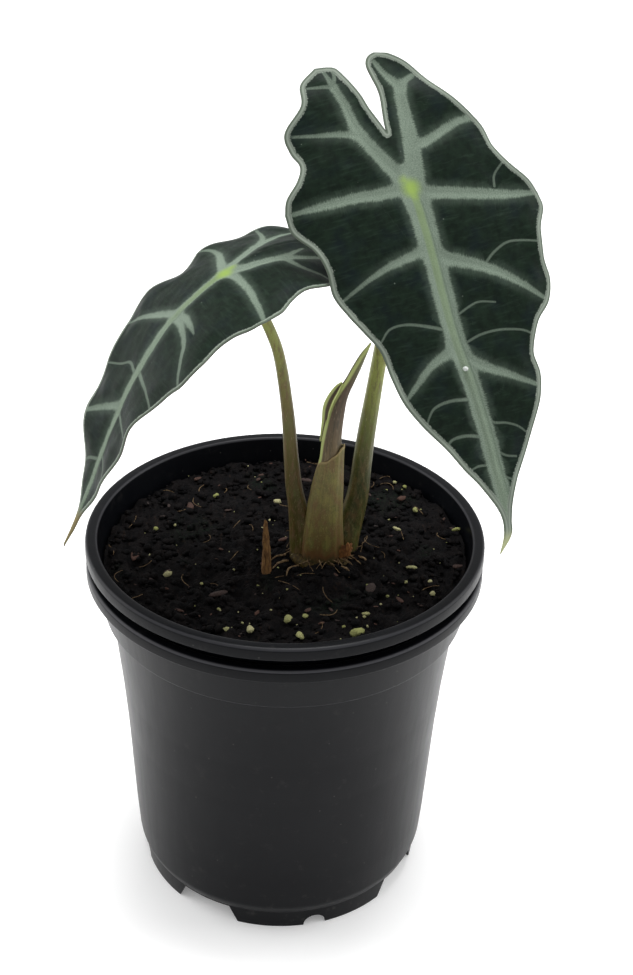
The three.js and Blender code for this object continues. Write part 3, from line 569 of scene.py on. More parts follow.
class Shader:
    """Builds a material's nodes by short calls, each of which returns an output."""

    def __init__(self, name):
        self.material = bpy.data.materials.new(name)
        self.material.use_nodes = True
        self.tree = self.material.node_tree
        self.surface = next(n for n in self.tree.nodes if n.type == "BSDF_PRINCIPLED")
        self.place = self.node("ShaderNodeTexCoord").outputs["Object"]

    def node(self, kind, inputs=None, **settings):
        made = self.tree.nodes.new(kind)
        for key, value in settings.items():
            setattr(made, key, value)
        for key, value in (inputs or {}).items():
            self.plug(made.inputs[key], value)
        return made

    def plug(self, socket, value):
        if isinstance(value, bpy.types.NodeSocket):
            self.tree.links.new(value, socket)
        elif value is not None:
            socket.default_value = value

    def math(self, operation, a, b=0.0):
        return self.node("ShaderNodeMath", {0: a, 1: b}, operation=operation).outputs[0]

    def plus(self, a, b):
        return self.math("ADD", a, b)

    def minus(self, a, b):
        return self.math("SUBTRACT", a, b)

    def times(self, a, b):
        return self.math("MULTIPLY", a, b)

    def moved(self, value, by, reach, middle=0.5):
        """A value moved to and fro by a noise, whose middle leaves it as it is."""
        return self.plus(value, self.times(self.minus(by, middle), reach))

    def clamp(self, value, low, high, new_low=0.0, new_high=1.0, smooth=True):
        inputs = {"Value": value, 1: low, 2: high, 3: new_low, 4: new_high}
        kind = "SMOOTHSTEP" if smooth else "LINEAR"
        return self.node("ShaderNodeMapRange", inputs, interpolation_type=kind).outputs[0]

    def mix(self, share, a, b):
        made = self.node("ShaderNodeMix", data_type="RGBA", blend_type="MIX")
        for number, value in ((0, share), (6, a), (7, b)):
            screen_colour = isinstance(value, tuple) and len(value) == 3
            self.plug(made.inputs[number], rgb(*value) if screen_colour else value)
        return made.outputs[2]

    def layers(self, color, *over):
        """Lays colours over a first one, each by its share.

        A share is an output, or a value with where it starts and ends to show and its full share.
        """
        for share, top in over:
            if isinstance(share, tuple):
                value, low, high, full = share
                share = self.clamp(value, low, high, 0, full)
            color = self.mix(share, color, top)
        return color

    def read(self, attribute):
        return self.node("ShaderNodeAttribute", attribute_name=attribute).outputs["Fac"]

    def scaled(self, size, vector=None, stretch=(1, 1, 1)):
        """Coordinates in which features of a size in millimetres are one unit long."""
        factor = tuple(s / (size * MM) for s in stretch)
        inputs = {0: vector or self.place, 1: factor}
        return self.node("ShaderNodeVectorMath", inputs, operation="MULTIPLY").outputs[0]

    def noise(self, size, detail=3.0, rough=0.55, vector=None, stretch=(1, 1, 1), distortion=0.0):
        inputs = {
            "Vector": self.scaled(size, vector, stretch),
            "Scale": 1.0,
            "Detail": detail,
            "Roughness": rough,
            "Distortion": distortion,
        }
        return self.node("ShaderNodeTexNoise", inputs).outputs["Fac"]

    def cells(self, size, vector=None):
        inputs = {"Vector": self.scaled(size, vector), "Scale": 1.0}
        return self.node("ShaderNodeTexVoronoi", inputs).outputs["Distance"]

    def height(self):
        return self.node("ShaderNodeSeparateXYZ", {0: self.place}).outputs[2]

    def combine(self, x, y, z=0.0):
        return self.node("ShaderNodeCombineXYZ", {0: x, 1: y, 2: z}).outputs[0]

    def bump(self, height, distance, strength=1.0, below=None):
        inputs = {"Height": height, "Distance": distance * MM, "Strength": strength, "Normal": below}
        return self.node("ShaderNodeBump", inputs).outputs[0]

    def finish(self, color, roughness, normal=None, **constants):
        self.plug(self.surface.inputs["Base Color"], color)
        self.plug(self.surface.inputs["Roughness"], roughness)
        self.plug(self.surface.inputs["Normal"], normal)
        for key, value in constants.items():
            self.surface.inputs[key.replace("_", " ")].default_value = value
        return self.material


def rgb(red, green, blue):
    """A screen colour, 0 to 255, as the linear colour that a shader takes."""
    parts = [c / 255 for c in (red, green, blue)]
    linear = [c / 12.92 if c <= 0.04045 else ((c + 0.055) / 1.055) ** 2.4 for c in parts]
    return (*linear, 1)


def pot_material(name, painted_highlight_lines):
    """Black plastic with drawn streaks, dust and specks, and pale painted highlight lines along the edges
    that catch the light.
    """
    s = Shader(name)
    broad, fine, dust = s.noise(38, 4, 0.6), s.noise(0.55, 2, 0.6), s.noise(5.5, 6, 0.72)
    drawn = s.noise(3.2, 4, 0.65, stretch=(1, 1, 0.12))
    low = s.clamp(s.height(), 0.03, 0.0)
    grey = s.times(s.clamp(dust, 0.56, 0.74), s.plus(s.times(low, 0.16), 0.05))
    color = s.layers(
        (4, 5, 8),
        ((broad, 0.35, 0.7, 1), (8, 9, 12)),
        (grey, (104, 100, 96)),
        ((s.cells(7), 0.05, 0.035, 0.2), (110, 108, 102)),
    )
    # Painted highlights: a pale line at each given height, where the lip's rounded edge and the collar's
    # crease catch the light
    for edge, amount in painted_highlight_lines:
        away = s.math("ABSOLUTE", s.minus(s.height(), edge * MM))
        color = s.layers(color, ((away, 0.0005, 0.0002, amount), (92, 92, 96)))
    roughness = s.plus(s.plus(s.times(drawn, 0.14), 0.28), s.times(grey, 0.5))
    normal = s.bump(drawn, 0.05, 0.5, s.bump(fine, 0.035, 0.6))
    return s.finish(color, roughness, normal, Specular_IOR_Level=0.1)


def soil_material():
    """Near-black peat with fibres, grit and a hint of green."""
    s = Shader("peat_soil")
    clods, grit = s.noise(4.5, 6, 0.7), s.noise(0.8, 4, 0.7)
    fibre = s.noise(2.0, 3, 0.6, stretch=(1, 0.25, 1), distortion=1.2)
    green = s.times(s.clamp(s.noise(22, 2, 0.5), 0.6, 0.72), s.clamp(grit, 0.45, 0.65, 0, 0.5))
    color = s.layers(
        (3, 3, 4),
        ((clods, 0.35, 0.68, 1), (15, 12, 12)),
        ((fibre, 0.6, 0.72, 0.55), (34, 25, 20)),
        ((grit, 0.62, 0.72, 0.5), (46, 42, 38)),
        (green, (22, 36, 24)),
    )
    normal = s.bump(grit, 0.5, 0.9, s.bump(clods, 1.2, 0.7))
    return s.finish(color, s.clamp(grit, 0.3, 0.75, 0.62, 0.92), normal, Specular_IOR_Level=0.06)


def blade_material(name, core_reach, rim_width, tip_color, gloss, sheen):
    """The blade: near-black green, with pale veins whose edges are combed into the green."""
    s = Shader(name)
    along, margin, middle = s.read("along"), s.read("margin"), s.read("middle")
    bold, from_joint = s.read("bold"), s.read("flat_a")
    fine_vein = s.minus(s.math("ABSOLUTE", s.read("line")), s.read("line_half"))
    vein = s.math("MINIMUM", s.read("vein"), fine_vein)
    flat = s.combine(from_joint, s.read("flat_b"))
    comb = s.noise(0.3, 1, 0.5, vector=s.combine(along, s.times(vein, 0.12)))
    patch, fine = s.noise(3.0, 3, 0.6, vector=flat), s.noise(0.45, 2, 0.6, vector=flat)
    cloud, tufts = s.noise(11, 3, 0.5, vector=flat), s.noise(0.5, 2, 0.6, vector=flat)
    lines = s.noise(1.1, 3, 0.6, vector=flat, stretch=(1, 0.16, 1), distortion=0.4)
    ragged = s.moved(s.times(s.minus(comb, 0.5), 0.0019), patch, 0.0012, 0.52)
    edge = s.minus(vein, s.times(ragged, bold))
    soft = s.plus(s.times(bold, 0.0004), 0.0002)
    share = s.minus(0.5, s.math("DIVIDE", edge, s.times(soft, 2.0)))
    pale = s.times(s.clamp(share, 0.0, 1.0), s.plus(s.times(bold, 0.55), 0.45))
    dark = s.layers(
        (13, 22, 16),
        ((patch, 0.3, 0.7, 1), (20, 32, 23)),
        ((cloud, 0.45, 0.75, 0.6), (15, 24, 28)),
        ((lines, 0.5, 0.72, 0.3), (40, 54, 44)),
        (s.times(s.clamp(edge, 0.0034, 0.0, 0, 0.24), bold), (86, 100, 88)),
        ((s.cells(7, flat), 0.045, 0.03, 0.35), (112, 124, 112)),
    )
    fade = s.clamp(from_joint, 0.0, core_reach, 0.7, 0.1, smooth=False)
    fade = s.times(fade, s.clamp(from_joint, -0.003, 0.001))
    core = s.times(s.clamp(s.math("ABSOLUTE", middle), 0.0021, 0.0008), fade)
    # Painted shadow: a darker line along one side of the raised midrib, where the ridge shades the blade
    line = s.times(s.clamp(middle, 0.0014, 0.0018), s.clamp(middle, 0.0024, 0.0019))
    line = s.times(line, s.clamp(from_joint, 0.002, 0.008, 0, 0.3))
    light = s.layers(
        (92, 105, 93),
        ((fine, 0.3, 0.7, 1), (113, 125, 112)),
        (core, (102, 120, 78)),
        (line, (60, 76, 56)),
    )
    rim_edge = s.moved(s.moved(margin, patch, 0.0009), tufts, 0.0012)
    rim_line = s.times(s.clamp(margin, 0.0010, 0.0013), s.clamp(margin, 0.0018, 0.0014))
    rim_color = s.layers(
        (120, 128, 118),
        ((margin, 0.0007, 0.0003, 1), (84, 94, 82)),
        (s.times(rim_line, 0.45), (62, 74, 62)),
    )
    below = s.layers(
        (74, 52, 62),
        ((patch, 0.35, 0.7, 1), (86, 74, 72)),
        ((vein, 0.0007, -0.0004, 1), (118, 122, 96)),
        ((lines, 0.5, 0.7, 0.5), (98, 78, 80)),
    )
    spot = s.plus(s.read("spot"), s.times(patch, 0.0012))
    color = s.layers(
        s.mix(pale, dark, light),
        ((rim_edge, rim_width * MM, (rim_width - 0.5) * MM, 1), rim_color),
        ((spot, 0.0056, 0.0014, 1), (122, 144, 74)),
        (s.read("tip"), tip_color),
        (s.read("under"), below),
    )
    roughness = s.plus(s.clamp(fine, 0.25, 0.75, 0.38, 0.52), s.times(pale, 0.1))
    relief = s.plus(s.times(lines, 0.6), s.times(fine, 0.4))
    normal = s.bump(relief, 0.1, 0.7, s.bump(s.times(comb, pale), 0.12, 0.6))
    shine = {"Specular_IOR_Level": gloss, "Sheen_Weight": sheen, "Sheen_Roughness": 0.45}
    return s.finish(color, roughness, normal, **shine)


def stalk_material(name, bottom, middle, top, mottle):
    """A stalk whose colour changes from foot to top, with short mauve-brown streaks."""
    s = Shader(name)
    t = s.read("share")
    streak = s.noise(1.1, 5, 0.65, stretch=(1, 1, 0.22))
    blotch = s.noise(4.0, 4, 0.6, stretch=(1, 1, 0.5))
    patch = s.noise(2.6, 3, 0.6, stretch=(1, 1, 0.4))
    fine = s.noise(0.35, 2, 0.6, stretch=(1, 1, 0.15))
    grain = s.noise(0.4, 3, 0.7)
    mauve = s.times(s.clamp(streak, 0.44, 0.66), s.clamp(t, 0.7, 0.98, 0.75, 0.12))
    russet = s.times(s.clamp(patch, 0.48, 0.64, 0, 0.6), s.clamp(t, 0.45, 0.1))
    color = s.layers(
        bottom,
        ((t, 0.22, 0.58, 1), middle),
        ((t, 0.5, 0.95, 1), top),
        (mauve, mottle),
        ((blotch, 0.52, 0.7, 0.4), (86, 96, 52)),
        (russet, (84, 62, 34)),
        ((fine, 0.6, 0.75, 0.3), (166, 160, 118)),
        ((grain, 0.52, 0.72, 0.45), mottle),
        ((grain, 0.42, 0.26, 0.3), (150, 148, 104)),
    )
    normal = s.bump(fine, 0.06, 0.7, s.bump(streak, 0.15, 0.5))
    flesh = {"Subsurface_Weight": 0.08, "Subsurface_Radius": (0.002, 0.002, 0.001)}
    roughness = s.clamp(fine, 0.2, 0.8, 0.36, 0.52)
    return s.finish(color, roughness, normal, Specular_IOR_Level=0.25, **flesh)


def sheath_material():
    """Olive, ribbed and mottled, browner at its foot and paler along its rim."""
    s = Shader("sheath_skin")
    t = s.read("share")
    ribs = s.noise(0.75, 2, 0.5, vector=s.combine(s.read("around"), s.times(t, 0.0012)))
    fine = s.noise(0.28, 3, 0.6, stretch=(1, 1, 0.1))
    blotch = s.noise(3.5, 5, 0.7, stretch=(1, 1, 0.6))
    patch = s.noise(2.4, 3, 0.6, stretch=(1, 1, 0.45))
    grain = s.noise(0.45, 3, 0.7)
    foot = s.moved(s.height(), blotch, 0.012)
    color = s.layers(
        (80, 64, 29),
        ((t, 0.05, 0.75, 1), (108, 99, 53)),
        ((blotch, 0.42, 0.64, 0.85), (86, 84, 42)),
        ((patch, 0.5, 0.64, 0.6), (94, 68, 42)),
        ((patch, 0.46, 0.34, 0.5), (116, 112, 54)),
        ((ribs, 0.45, 0.66, 0.4), (80, 66, 40)),
        ((fine, 0.58, 0.76, 0.4), (158, 142, 98)),
        ((grain, 0.52, 0.72, 0.5), (70, 58, 34)),
        ((grain, 0.42, 0.26, 0.4), (150, 142, 100)),
        ((s.read("edge"), 0.0011, 0.0, 0.75), (146, 128, 88)),
        ((foot, 0.158, 0.150, 0.8), (84, 54, 30)),
        ((foot, 0.152, 0.1485, 0.8), (48, 50, 26)),
    )
    normal = s.bump(ribs, 0.14, 0.8, s.bump(fine, 0.08, 0.7))
    return s.finish(color, s.clamp(fine, 0.2, 0.8, 0.42, 0.6), normal, Specular_IOR_Level=0.3)


def young_leaf_material():
    """The rolled leaf's underside: mauve-brown with fine ribs and a pale green edge."""
    s = Shader("rolled_leaf_skin")
    t = s.read("share")
    ribs = s.noise(0.9, 3, 0.55, vector=s.combine(s.read("around"), s.times(t, 0.004)))
    fine = s.noise(0.3, 2, 0.6, stretch=(1, 1, 0.12))
    color = s.layers(
        (102, 88, 62),
        ((t, 0.25, 0.62, 1), (80, 66, 52)),
        ((t, 0.7, 0.95, 1), (104, 108, 70)),
        ((ribs, 0.42, 0.66, 0.7), (60, 56, 44)),
        ((fine, 0.55, 0.75, 0.4), (142, 130, 104)),
        ((s.read("edge"), 0.0016, 0.0008, 1), (168, 178, 112)),
    )
    normal = s.bump(ribs, 0.18, 0.8, s.bump(fine, 0.06, 0.6))
    return s.finish(color, s.clamp(fine, 0.2, 0.8, 0.38, 0.55), normal, Specular_IOR_Level=0.22)


def dry_material(name, pale, brown):
    """Dry, fibrous skin between two colours."""
    s = Shader(name)
    grain, blotch = s.noise(0.9, 5, 0.7, stretch=(1, 1, 0.2)), s.noise(3.0, 4, 0.6)
    color = s.layers(brown, ((grain, 0.35, 0.68, 1), pale), ((blotch, 0.5, 0.7, 0.6), (58, 38, 22)))
    roughness = s.clamp(blotch, 0.3, 0.7, 0.6, 0.85)
    return s.finish(color, roughness, s.bump(grain, 0.3, 1.0), Specular_IOR_Level=0.15)


def grain_material(name, one, two, pits):
    """Loose grains, each with a tone of its own between two colours."""
    s = Shader(name)
    rough, holes = s.noise(0.5, 4, 0.7), s.cells(0.55)
    pitted = ((rough, 0.45, 0.7, 0.5), pits), ((holes, 0.25, 0.0, 0.5), pits)
    color = s.layers(one, (s.read("tone"), two), *pitted)
    normal = s.bump(holes, 0.2, 0.8, s.bump(rough, 0.25, 0.8))
    return s.finish(color, s.clamp(rough, 0.3, 0.7, 0.7, 0.95), normal, Specular_IOR_Level=0.3)


def water_material():
    s = Shader("water_drop")
    ripple = s.noise(0.6, 2, 0.5)
    color = s.mix(ripple, (226, 232, 228), (244, 247, 244))
    roughness = s.clamp(ripple, 0, 1, 0.03, 0.1)
    return s.finish(color, roughness, s.bump(ripple, 0.01, 0.3), Transmission_Weight=0.55, IOR=1.33)


# Pots


def filleted(outline, radii, steps=4):
    """Replaces the corners of a half section by arcs of the given radii, 0 for a plain corner."""
    made = []
    for i, (corner, radius) in enumerate(zip(outline, radii)):
        here = np.array(corner, float)
        if not radius or i in (0, len(outline) - 1):
            made.append(here)
            continue
        before, after = np.array(outline[i - 1], float), np.array(outline[i + 1], float)
        reach = [min(radius, np.linalg.norm(side - here) * 0.45) for side in (before, after)]
        start = here + (before - here) / np.linalg.norm(before - here) * reach[0]
        end = here + (after - here) / np.linalg.norm(after - here) * reach[1]
        for t in np.linspace(0, 1, steps + 1):
            made.append((1 - t) ** 2 * start + 2 * t * (1 - t) * here + t * t * end)
    return made


def wall_radius(z):
    radii, heights = zip(*WALL)
    return np.interp(z, heights, radii)


def nested_radius(z):
    room = wall_radius(min(z + NEST_OFFSET, COLLAR_BOTTOM)) - WALL_THICKNESS - GAP
    return min(room, wall_radius(z) - GAP)


def pot_outline(nested):
    """Half section of a pot: under the floor, up the outside, over the lip and down the inside."""
    slack = GAP if nested else 0
    foot = FOOT_RADIUS - 2 * slack
    radius_at = nested_radius if nested else wall_radius
    heights = [z for _, z in WALL]
    lip_bottom = POT_HEIGHT - LIP_DEPTH
    step = COLLAR_BOTTOM + WALL_THICKNESS
    corners = [
        (0, FOOT_HEIGHT, 0),
        (foot - FOOT_THICKNESS - 0.2, FOOT_HEIGHT, 0.3),
        (foot - FOOT_THICKNESS, 0, 0.3),
        (foot, 0, 0.35),
        (foot + 0.5, FOOT_HEIGHT, 0.3),
        (foot + 1.4, FOOT_HEIGHT + 1.6, 0.8),
        *((radius_at(z), z, 1.2) for z in heights[:-1]),
        (radius_at(COLLAR_BOTTOM), COLLAR_BOTTOM, 0.35),
        (COLLAR_RADII[0] - slack, COLLAR_BOTTOM, 0.6),
        (COLLAR_RADII[1] - slack, lip_bottom, 0.4),
        (LIP_OUTER_RADIUS + LIP_FLARE, lip_bottom, 0.5),
        (LIP_OUTER_RADIUS, POT_HEIGHT, 1.5),
        (LIP_INNER_RADIUS, POT_HEIGHT, 1.3),
        (COLLAR_RADII[0] - slack - WALL_THICKNESS, step, 0.5),
        (radius_at(COLLAR_BOTTOM) - WALL_THICKNESS, step, 0.4),
        *((radius_at(z) - WALL_THICKNESS, z, 1.2) for z in heights[-2::-1]),
        (foot + 0.2, FOOT_HEIGHT + WALL_THICKNESS, 1.0),
        (0, FOOT_HEIGHT + WALL_THICKNESS, 0),
    ]
    return filleted([c[:2] for c in corners], [c[2] for c in corners])


def lathe(outline, segments, height):
    """Closed skin of a half section that starts and ends on the axis."""
    radii, heights = np.array(outline[1:-1]).T
    ends = [(0, 0, outline[0][1]), (0, 0, outline[-1][1])]
    points = np.concatenate([rings_about_axis(radii, heights, segments), ends])
    return points + (0, 0, height), capped_faces(len(radii), segments)


def prism(start, end, turn):
    """A closed block between two like rings of points, turned about the axis."""
    count = len(start)
    faces = [tuple(range(count)), tuple(range(2 * count - 1, count - 1, -1))]
    faces += [(j, j + count, (j + 1) % count + count, (j + 1) % count) for j in range(count)]
    return turned([*start, *end], turn), faces


def notch_shapes():
    """The notches as seen from outside, in x and z."""
    wide, small, below = WIDE_NOTCH, SMALL_NOTCH, -NOTCH_CUT["below"]
    top = FOOT_RADIUS * math.sin(math.radians(wide["width"] / 2)) - wide["inset"]
    bottom = top + wide["flare"]
    wide_shape = [(-bottom, below), (bottom, below), (top, wide["height"]), (-top, wide["height"])]
    half = FOOT_RADIUS * math.sin(math.radians(small["width"] / 2))
    arch = [math.pi * k / 12 for k in range(13)]
    small_shape = [(-half, below), (half, below)]
    small_shape += [(half * math.cos(a), small["height"] - half + half * math.sin(a)) for a in arch]
    return wide_shape, small_shape


def pot_cutter(height):
    """One mesh of the notches in the foot ring and the drain holes in the floor."""

    def cut(shape, turn):
        half = NOTCH_CUT["depth"] / 2
        return prism(*([(x, y - FOOT_RADIUS, z) for x, z in shape] for y in (-half, half)), turn)

    def hole(radius, reach, turn):
        ring = [(radius * math.cos(a), radius * math.sin(a) - reach) for a in full_turn(32)]
        levels = (FOOT_HEIGHT - HOLES["reach"], FOOT_HEIGHT + HOLES["reach"])
        return prism(*([(x, y, z) for x, y in ring] for z in levels), turn)

    tools = [hole(HOLES["middle"], 0, 0)]
    for quarter in range(4):
        for notch, shape in zip((WIDE_NOTCH, SMALL_NOTCH), notch_shapes()):
            angle = notch["angle"] + 90 * quarter
            tools += [cut(shape, angle), hole(HOLES["outer"], HOLES["circle"], angle)]
    points, faces = joined(tools)
    return points + (0, 0, height), faces


def make_pot(node, name, material):
    nested = node == "inner_pot"
    height = NEST_OFFSET if nested else 0
    points, faces = lathe(pot_outline(nested), POT_SEGMENTS, height)
    piece = make_piece(name, points, faces, material, [node])
    tool_points, tool_faces = pot_cutter(height)
    tool_mesh = bpy.data.meshes.new("cutter")
    tool_mesh.from_pydata(placed(tool_points).tolist(), [], tool_faces)
    for mesh in (piece.data, tool_mesh):
        outward_normals(mesh)
    tool = bpy.data.objects.new("cutter", tool_mesh)
    bpy.context.scene.collection.objects.link(tool)
    change = piece.modifiers.new("cut", "BOOLEAN")
    change.operation = "DIFFERENCE"
    change.solver = "EXACT"
    change.object = tool
    apply_modifiers(piece)
    bpy.data.objects.remove(tool)
    smooth_shading(piece.data, POT_SHARP_ANGLE)
    return piece


def outward_normals(mesh):
    bm = bmesh.new()
    bm.from_mesh(mesh)
    bmesh.ops.recalc_face_normals(bm, faces=bm.faces)
    bm.to_mesh(mesh)
    bm.free()


def apply_modifiers(piece):
    """Puts a piece's evaluated shape in place of its mesh."""
    graph = bpy.context.evaluated_depsgraph_get()
    made = bpy.data.meshes.new_from_object(piece.evaluated_get(graph))
    old = piece.data
    piece.modifiers.clear()
    piece.data = made
    bpy.data.meshes.remove(old)


# Soil


def soil_height(x, y):
    """The top of the soil: a little higher to the right, heaped at the plant, and lumpy."""
    slant = 0.02 * x - 0.008 * y
    heap = 1.2 * np.exp(-((x - 14) ** 2 + (y + 4) ** 2) / 500)
    lumps = 0.6 * np.sin(0.21 * x + 1) * np.sin(0.19 * y + 2)
    ripple = 0.35 * np.sin(0.5 * x + 0.37 * y)
    return SOIL_LEVEL + slant + heap + lumps + ripple


def make_soil(material):
    rings, segments = SOIL_GRID["rings"], SOIL_GRID["segments"]
    radii = SOIL_RADIUS * np.linspace(0, 1, rings + 1)[1:] ** SOIL_GRID["crowding"]
    top = rings_about_axis(radii, np.zeros(rings), segments)
    level = soil_height(top[:, 0], top[:, 1])
    top[:, 2] = level - SOIL_RELIEF
    clods, grit = bumps(top, CLODS["size"], 1, 4), bumps(top, GRIT["size"], 2)
    inside = smoothstep(SOIL_RADIUS, SOIL_RADIUS - SOIL_EDGE["width"], np.hypot(top[:, 0], top[:, 1]))
    top[:, 2] += CLODS["height"] * clods + GRIT["height"] * grit - SOIL_EDGE["drop"] * (1 - inside)
    top[:, 2] = np.minimum(top[:, 2], level + SOIL_RELIEF)
    depths = np.linspace(SOIL_LEVEL - SOIL_GRID["side_top"], SOIL_BOTTOM, SOIL_GRID["side_rings"])
    widths = [min(nested_radius(z - NEST_OFFSET) - WALL_THICKNESS - GAP, SOIL_RADIUS) for z in depths]
    ends = [(0, 0, top[:segments, 2].mean()), (0, 0, SOIL_BOTTOM)]
    points = np.concatenate([top, rings_about_axis(widths, depths, segments), ends])
    faces = [face[::-1] for face in capped_faces(rings + len(depths), segments)]
    return make_piece("potting_soil", points, faces, material, ["soil"])


def ball(level):
    """Points and triangles of a unit icosphere."""
    bm = bmesh.new()
    bmesh.ops.create_icosphere(bm, subdivisions=level, radius=1)
    points = np.array([v.co for v in bm.verts])
    faces = [tuple(v.index for v in f.verts) for f in bm.faces]
    bm.free()
    return points, faces


def lumps(places, radii, turns, level, roughness, seed):
    """Many uneven grains as one mesh, with each grain's tone as an attribute."""
    base, base_faces = ball(level)
    rng = np.random.default_rng(seed)
    meshes, tones = [], []
    for place, radius, turn in zip(places, radii, turns):
        folds = rng.normal(size=(5, 3)) * 2.2
        phase = rng.uniform(0, math.tau, 5)
        push = 1 + roughness * np.sin(base @ folds.T + phase).mean(1) * 2
        spin, _ = np.linalg.qr(rng.normal(size=(3, 3)))
        shaped = (base * push[:, None]) @ spin.T * radius
        meshes.append((turned(shaped, turn) + place, base_faces))
        tones.append(np.full(len(base), rng.uniform()))
    points, faces = joined(meshes)
    return points, faces, {"tone": np.concatenate(tones)}


def scatter(bits, rng):
    """Places spread over the soil, clear of the plant's crown."""
    places = []
    while len(places) < bits["count"]:
        radius = OPEN_RADIUS * math.sqrt(rng.random())
        angle = math.tau * rng.random()
        x, y = radius * math.sin(angle), -radius * math.cos(angle)
        if math.hypot(x - CROWN[0], y - CROWN[1]) > bits["clear"]:
            places.append((x, y))
    return np.array(places)


def scattered(bits, rng):
    """Places spread over the soil, and a bit's three half sizes at each."""
    places = scatter(bits, rng)
    least, spread, power = bits["size"]
    sizes = [least + spread * rng.random() ** power for _ in places]
    return places, np.outer(sizes, bits["shape"])


def on_soil(xy, lift):
    return np.column_stack([xy, soil_height(xy[:, 0], xy[:, 1]) + lift])


def make_crumbs(material):
    rng = random.Random(SEED)
    xy, radii = scattered(CRUMBS, rng)
    lift = np.array([rng.uniform(*CRUMB_LIFT) for _ in xy])
    turns = [360 * rng.random() for _ in xy]
    points, faces, tones = lumps(on_soil(xy, lift), radii, turns, 1, 0.42, SEED)
    return make_piece("soil_crumbs", points, faces, material, attributes=tones)


def make_perlite(material):
    named = np.array(PERLITE)
    length, width = named[:, 2], named[:, 3]
    small, small_radii = scattered(SMALL_PERLITE, random.Random(SEED + 1))
    big = on_soil(named[:, :2], 0.35 * PERLITE_FLATNESS * width)
    places = np.concatenate([big, on_soil(small, 0.1)])
    radii = np.concatenate([np.column_stack([length, width, PERLITE_FLATNESS * width]), small_radii])
    turns = [40 * x for x, *_ in places]
    points, faces, tones = lumps(places, radii, turns, 2, 0.3, SEED + 1)
    nodes = numbered("perlite", PERLITE)
    return make_piece("perlite_grains", points, faces, material, nodes, tones)


def make_bark(material):
    rng = random.Random(SEED + 2)
    named = np.array(BARK)
    small, small_radii = scattered(SMALL_BARK, rng)
    places = np.concatenate([on_soil(named[:, :2], 0.2), on_soil(small, 0.05)])
    thick = np.full(len(named), BARK_THICKNESS)
    radii = np.concatenate([np.column_stack([named[:, 2:4], thick]), small_radii])
    turns = [*named[:, 4], *(360 * rng.random() for _ in small)]
    points, faces, tones = lumps(places, radii, turns, 2, 0.3, SEED + 2)
    nodes = numbered("bark_chip", BARK)
    return make_piece("bark_flakes", points, faces, material, nodes, tones)


def make_fibres(material):
    """Thin fibres of coir that lie on the soil."""
    rng = random.Random(SEED + 3)
    meshes = []
    for x, y in scatter(FIBRES, rng):
        heading = math.tau * rng.random()
        length = rng.uniform(*FIBRES["length"])
        bend = rng.uniform(-FIBRES["bend"], FIBRES["bend"])
        line = []
        for t in np.linspace(-0.5, 0.5, 5):
            angle = heading + bend * t
            px, py = x + length * t * math.cos(angle), y + length * t * math.sin(angle)
            reach = math.hypot(px, py)
            if reach > OPEN_RADIUS:
                px, py = px * OPEN_RADIUS / reach, py * OPEN_RADIUS / reach
            z = float(soil_height(px, py)) + (0.35 + 0.4 * math.cos(math.pi * t))
            line.append((px, py, z, FIBRES["radius"] + FIBRES["spread"] * rng.random()))
        meshes.append(tube(line, 10, 5)[:2])
    points, faces = joined(meshes)
    return make_piece("coir_fibres", points, faces, material)


# Stalks


def course_of(points, steps):
    """Evenly spaced places, radii, directions and side vectors along a curve."""
    rows = np.array(points, float)
    fine = spline_at(rows, np.linspace(0, 1, 400))
    lengths = np.concatenate([[0], np.cumsum(np.linalg.norm(np.diff(fine[:, :3], axis=0), axis=1))])
    wanted = np.linspace(0, lengths[-1], steps + 1)
    even = np.stack([np.interp(wanted, lengths, fine[:, k]) for k in range(rows.shape[1])], -1)
    direction = directions_along(even[:, :3])
    side = np.cross(direction[0], (0, 1, 0))
    sides = []
    for d in direction:
        side = side - d * (side @ d)
        side = side / np.linalg.norm(side)
        sides.append(side)
    sides = np.array(sides)
    return even[:, :3], even[:, -1], direction, sides, np.cross(direction, sides)


def tube(points, steps, sides, section=None):
    """A closed bar along a curve, rounded at its end. section(share, angle) scales its radius."""
    centre, radius, direction, one, other = course_of(points, steps)
    angles = full_turn(sides)
    share = np.linspace(0, 1, steps + 1)
    scale = np.ones((steps + 1, sides)) if section is None else section(share[:, None], angles[None, :])
    cap = np.clip((1 - share) * steps / 1.5, 0, 1)
    reach = radius[:, None] * (scale * np.sqrt(1 - (1 - cap[:, None]) ** 2 * 0.75))
    rings = about(centre[:, None], one[:, None], other[:, None], reach, angles)
    end = centre[-1:] + direction[-1:] * radius[-1] * 0.4
    made = np.concatenate([rings.reshape(-1, 3), centre[:1], end])
    shares = np.concatenate([np.repeat(share, sides), [0, 1]])
    return made, capped_faces(steps + 1, sides), {"share": shares}


def make_petiole(name, node, points, material, seed, wing):
    """A stalk with fine ribs, a groove along its upper part and a wing on one side of its foot."""

    def section(share, angle):
        wrap = bell(turn_from(angle, wing), 0.75) * smoothstep(0.26, 0.0, share)
        ribs = 0.02 * np.cos(5 * angle + seed) + 0.012 * np.cos(11 * angle + 3 * share)
        groove = -0.07 * bell(turn_from(angle, seed), 0.4) * smoothstep(0.2, 0.6, share)
        swell = 0.02 * np.sin(40 * share + seed) * np.sin(2 * angle)
        return 1 + ribs + groove + swell + 1.1 * wrap

    made, faces, attributes = tube(points, 150, 40, section)
    return make_piece(name, made, faces, material, [node], attributes)


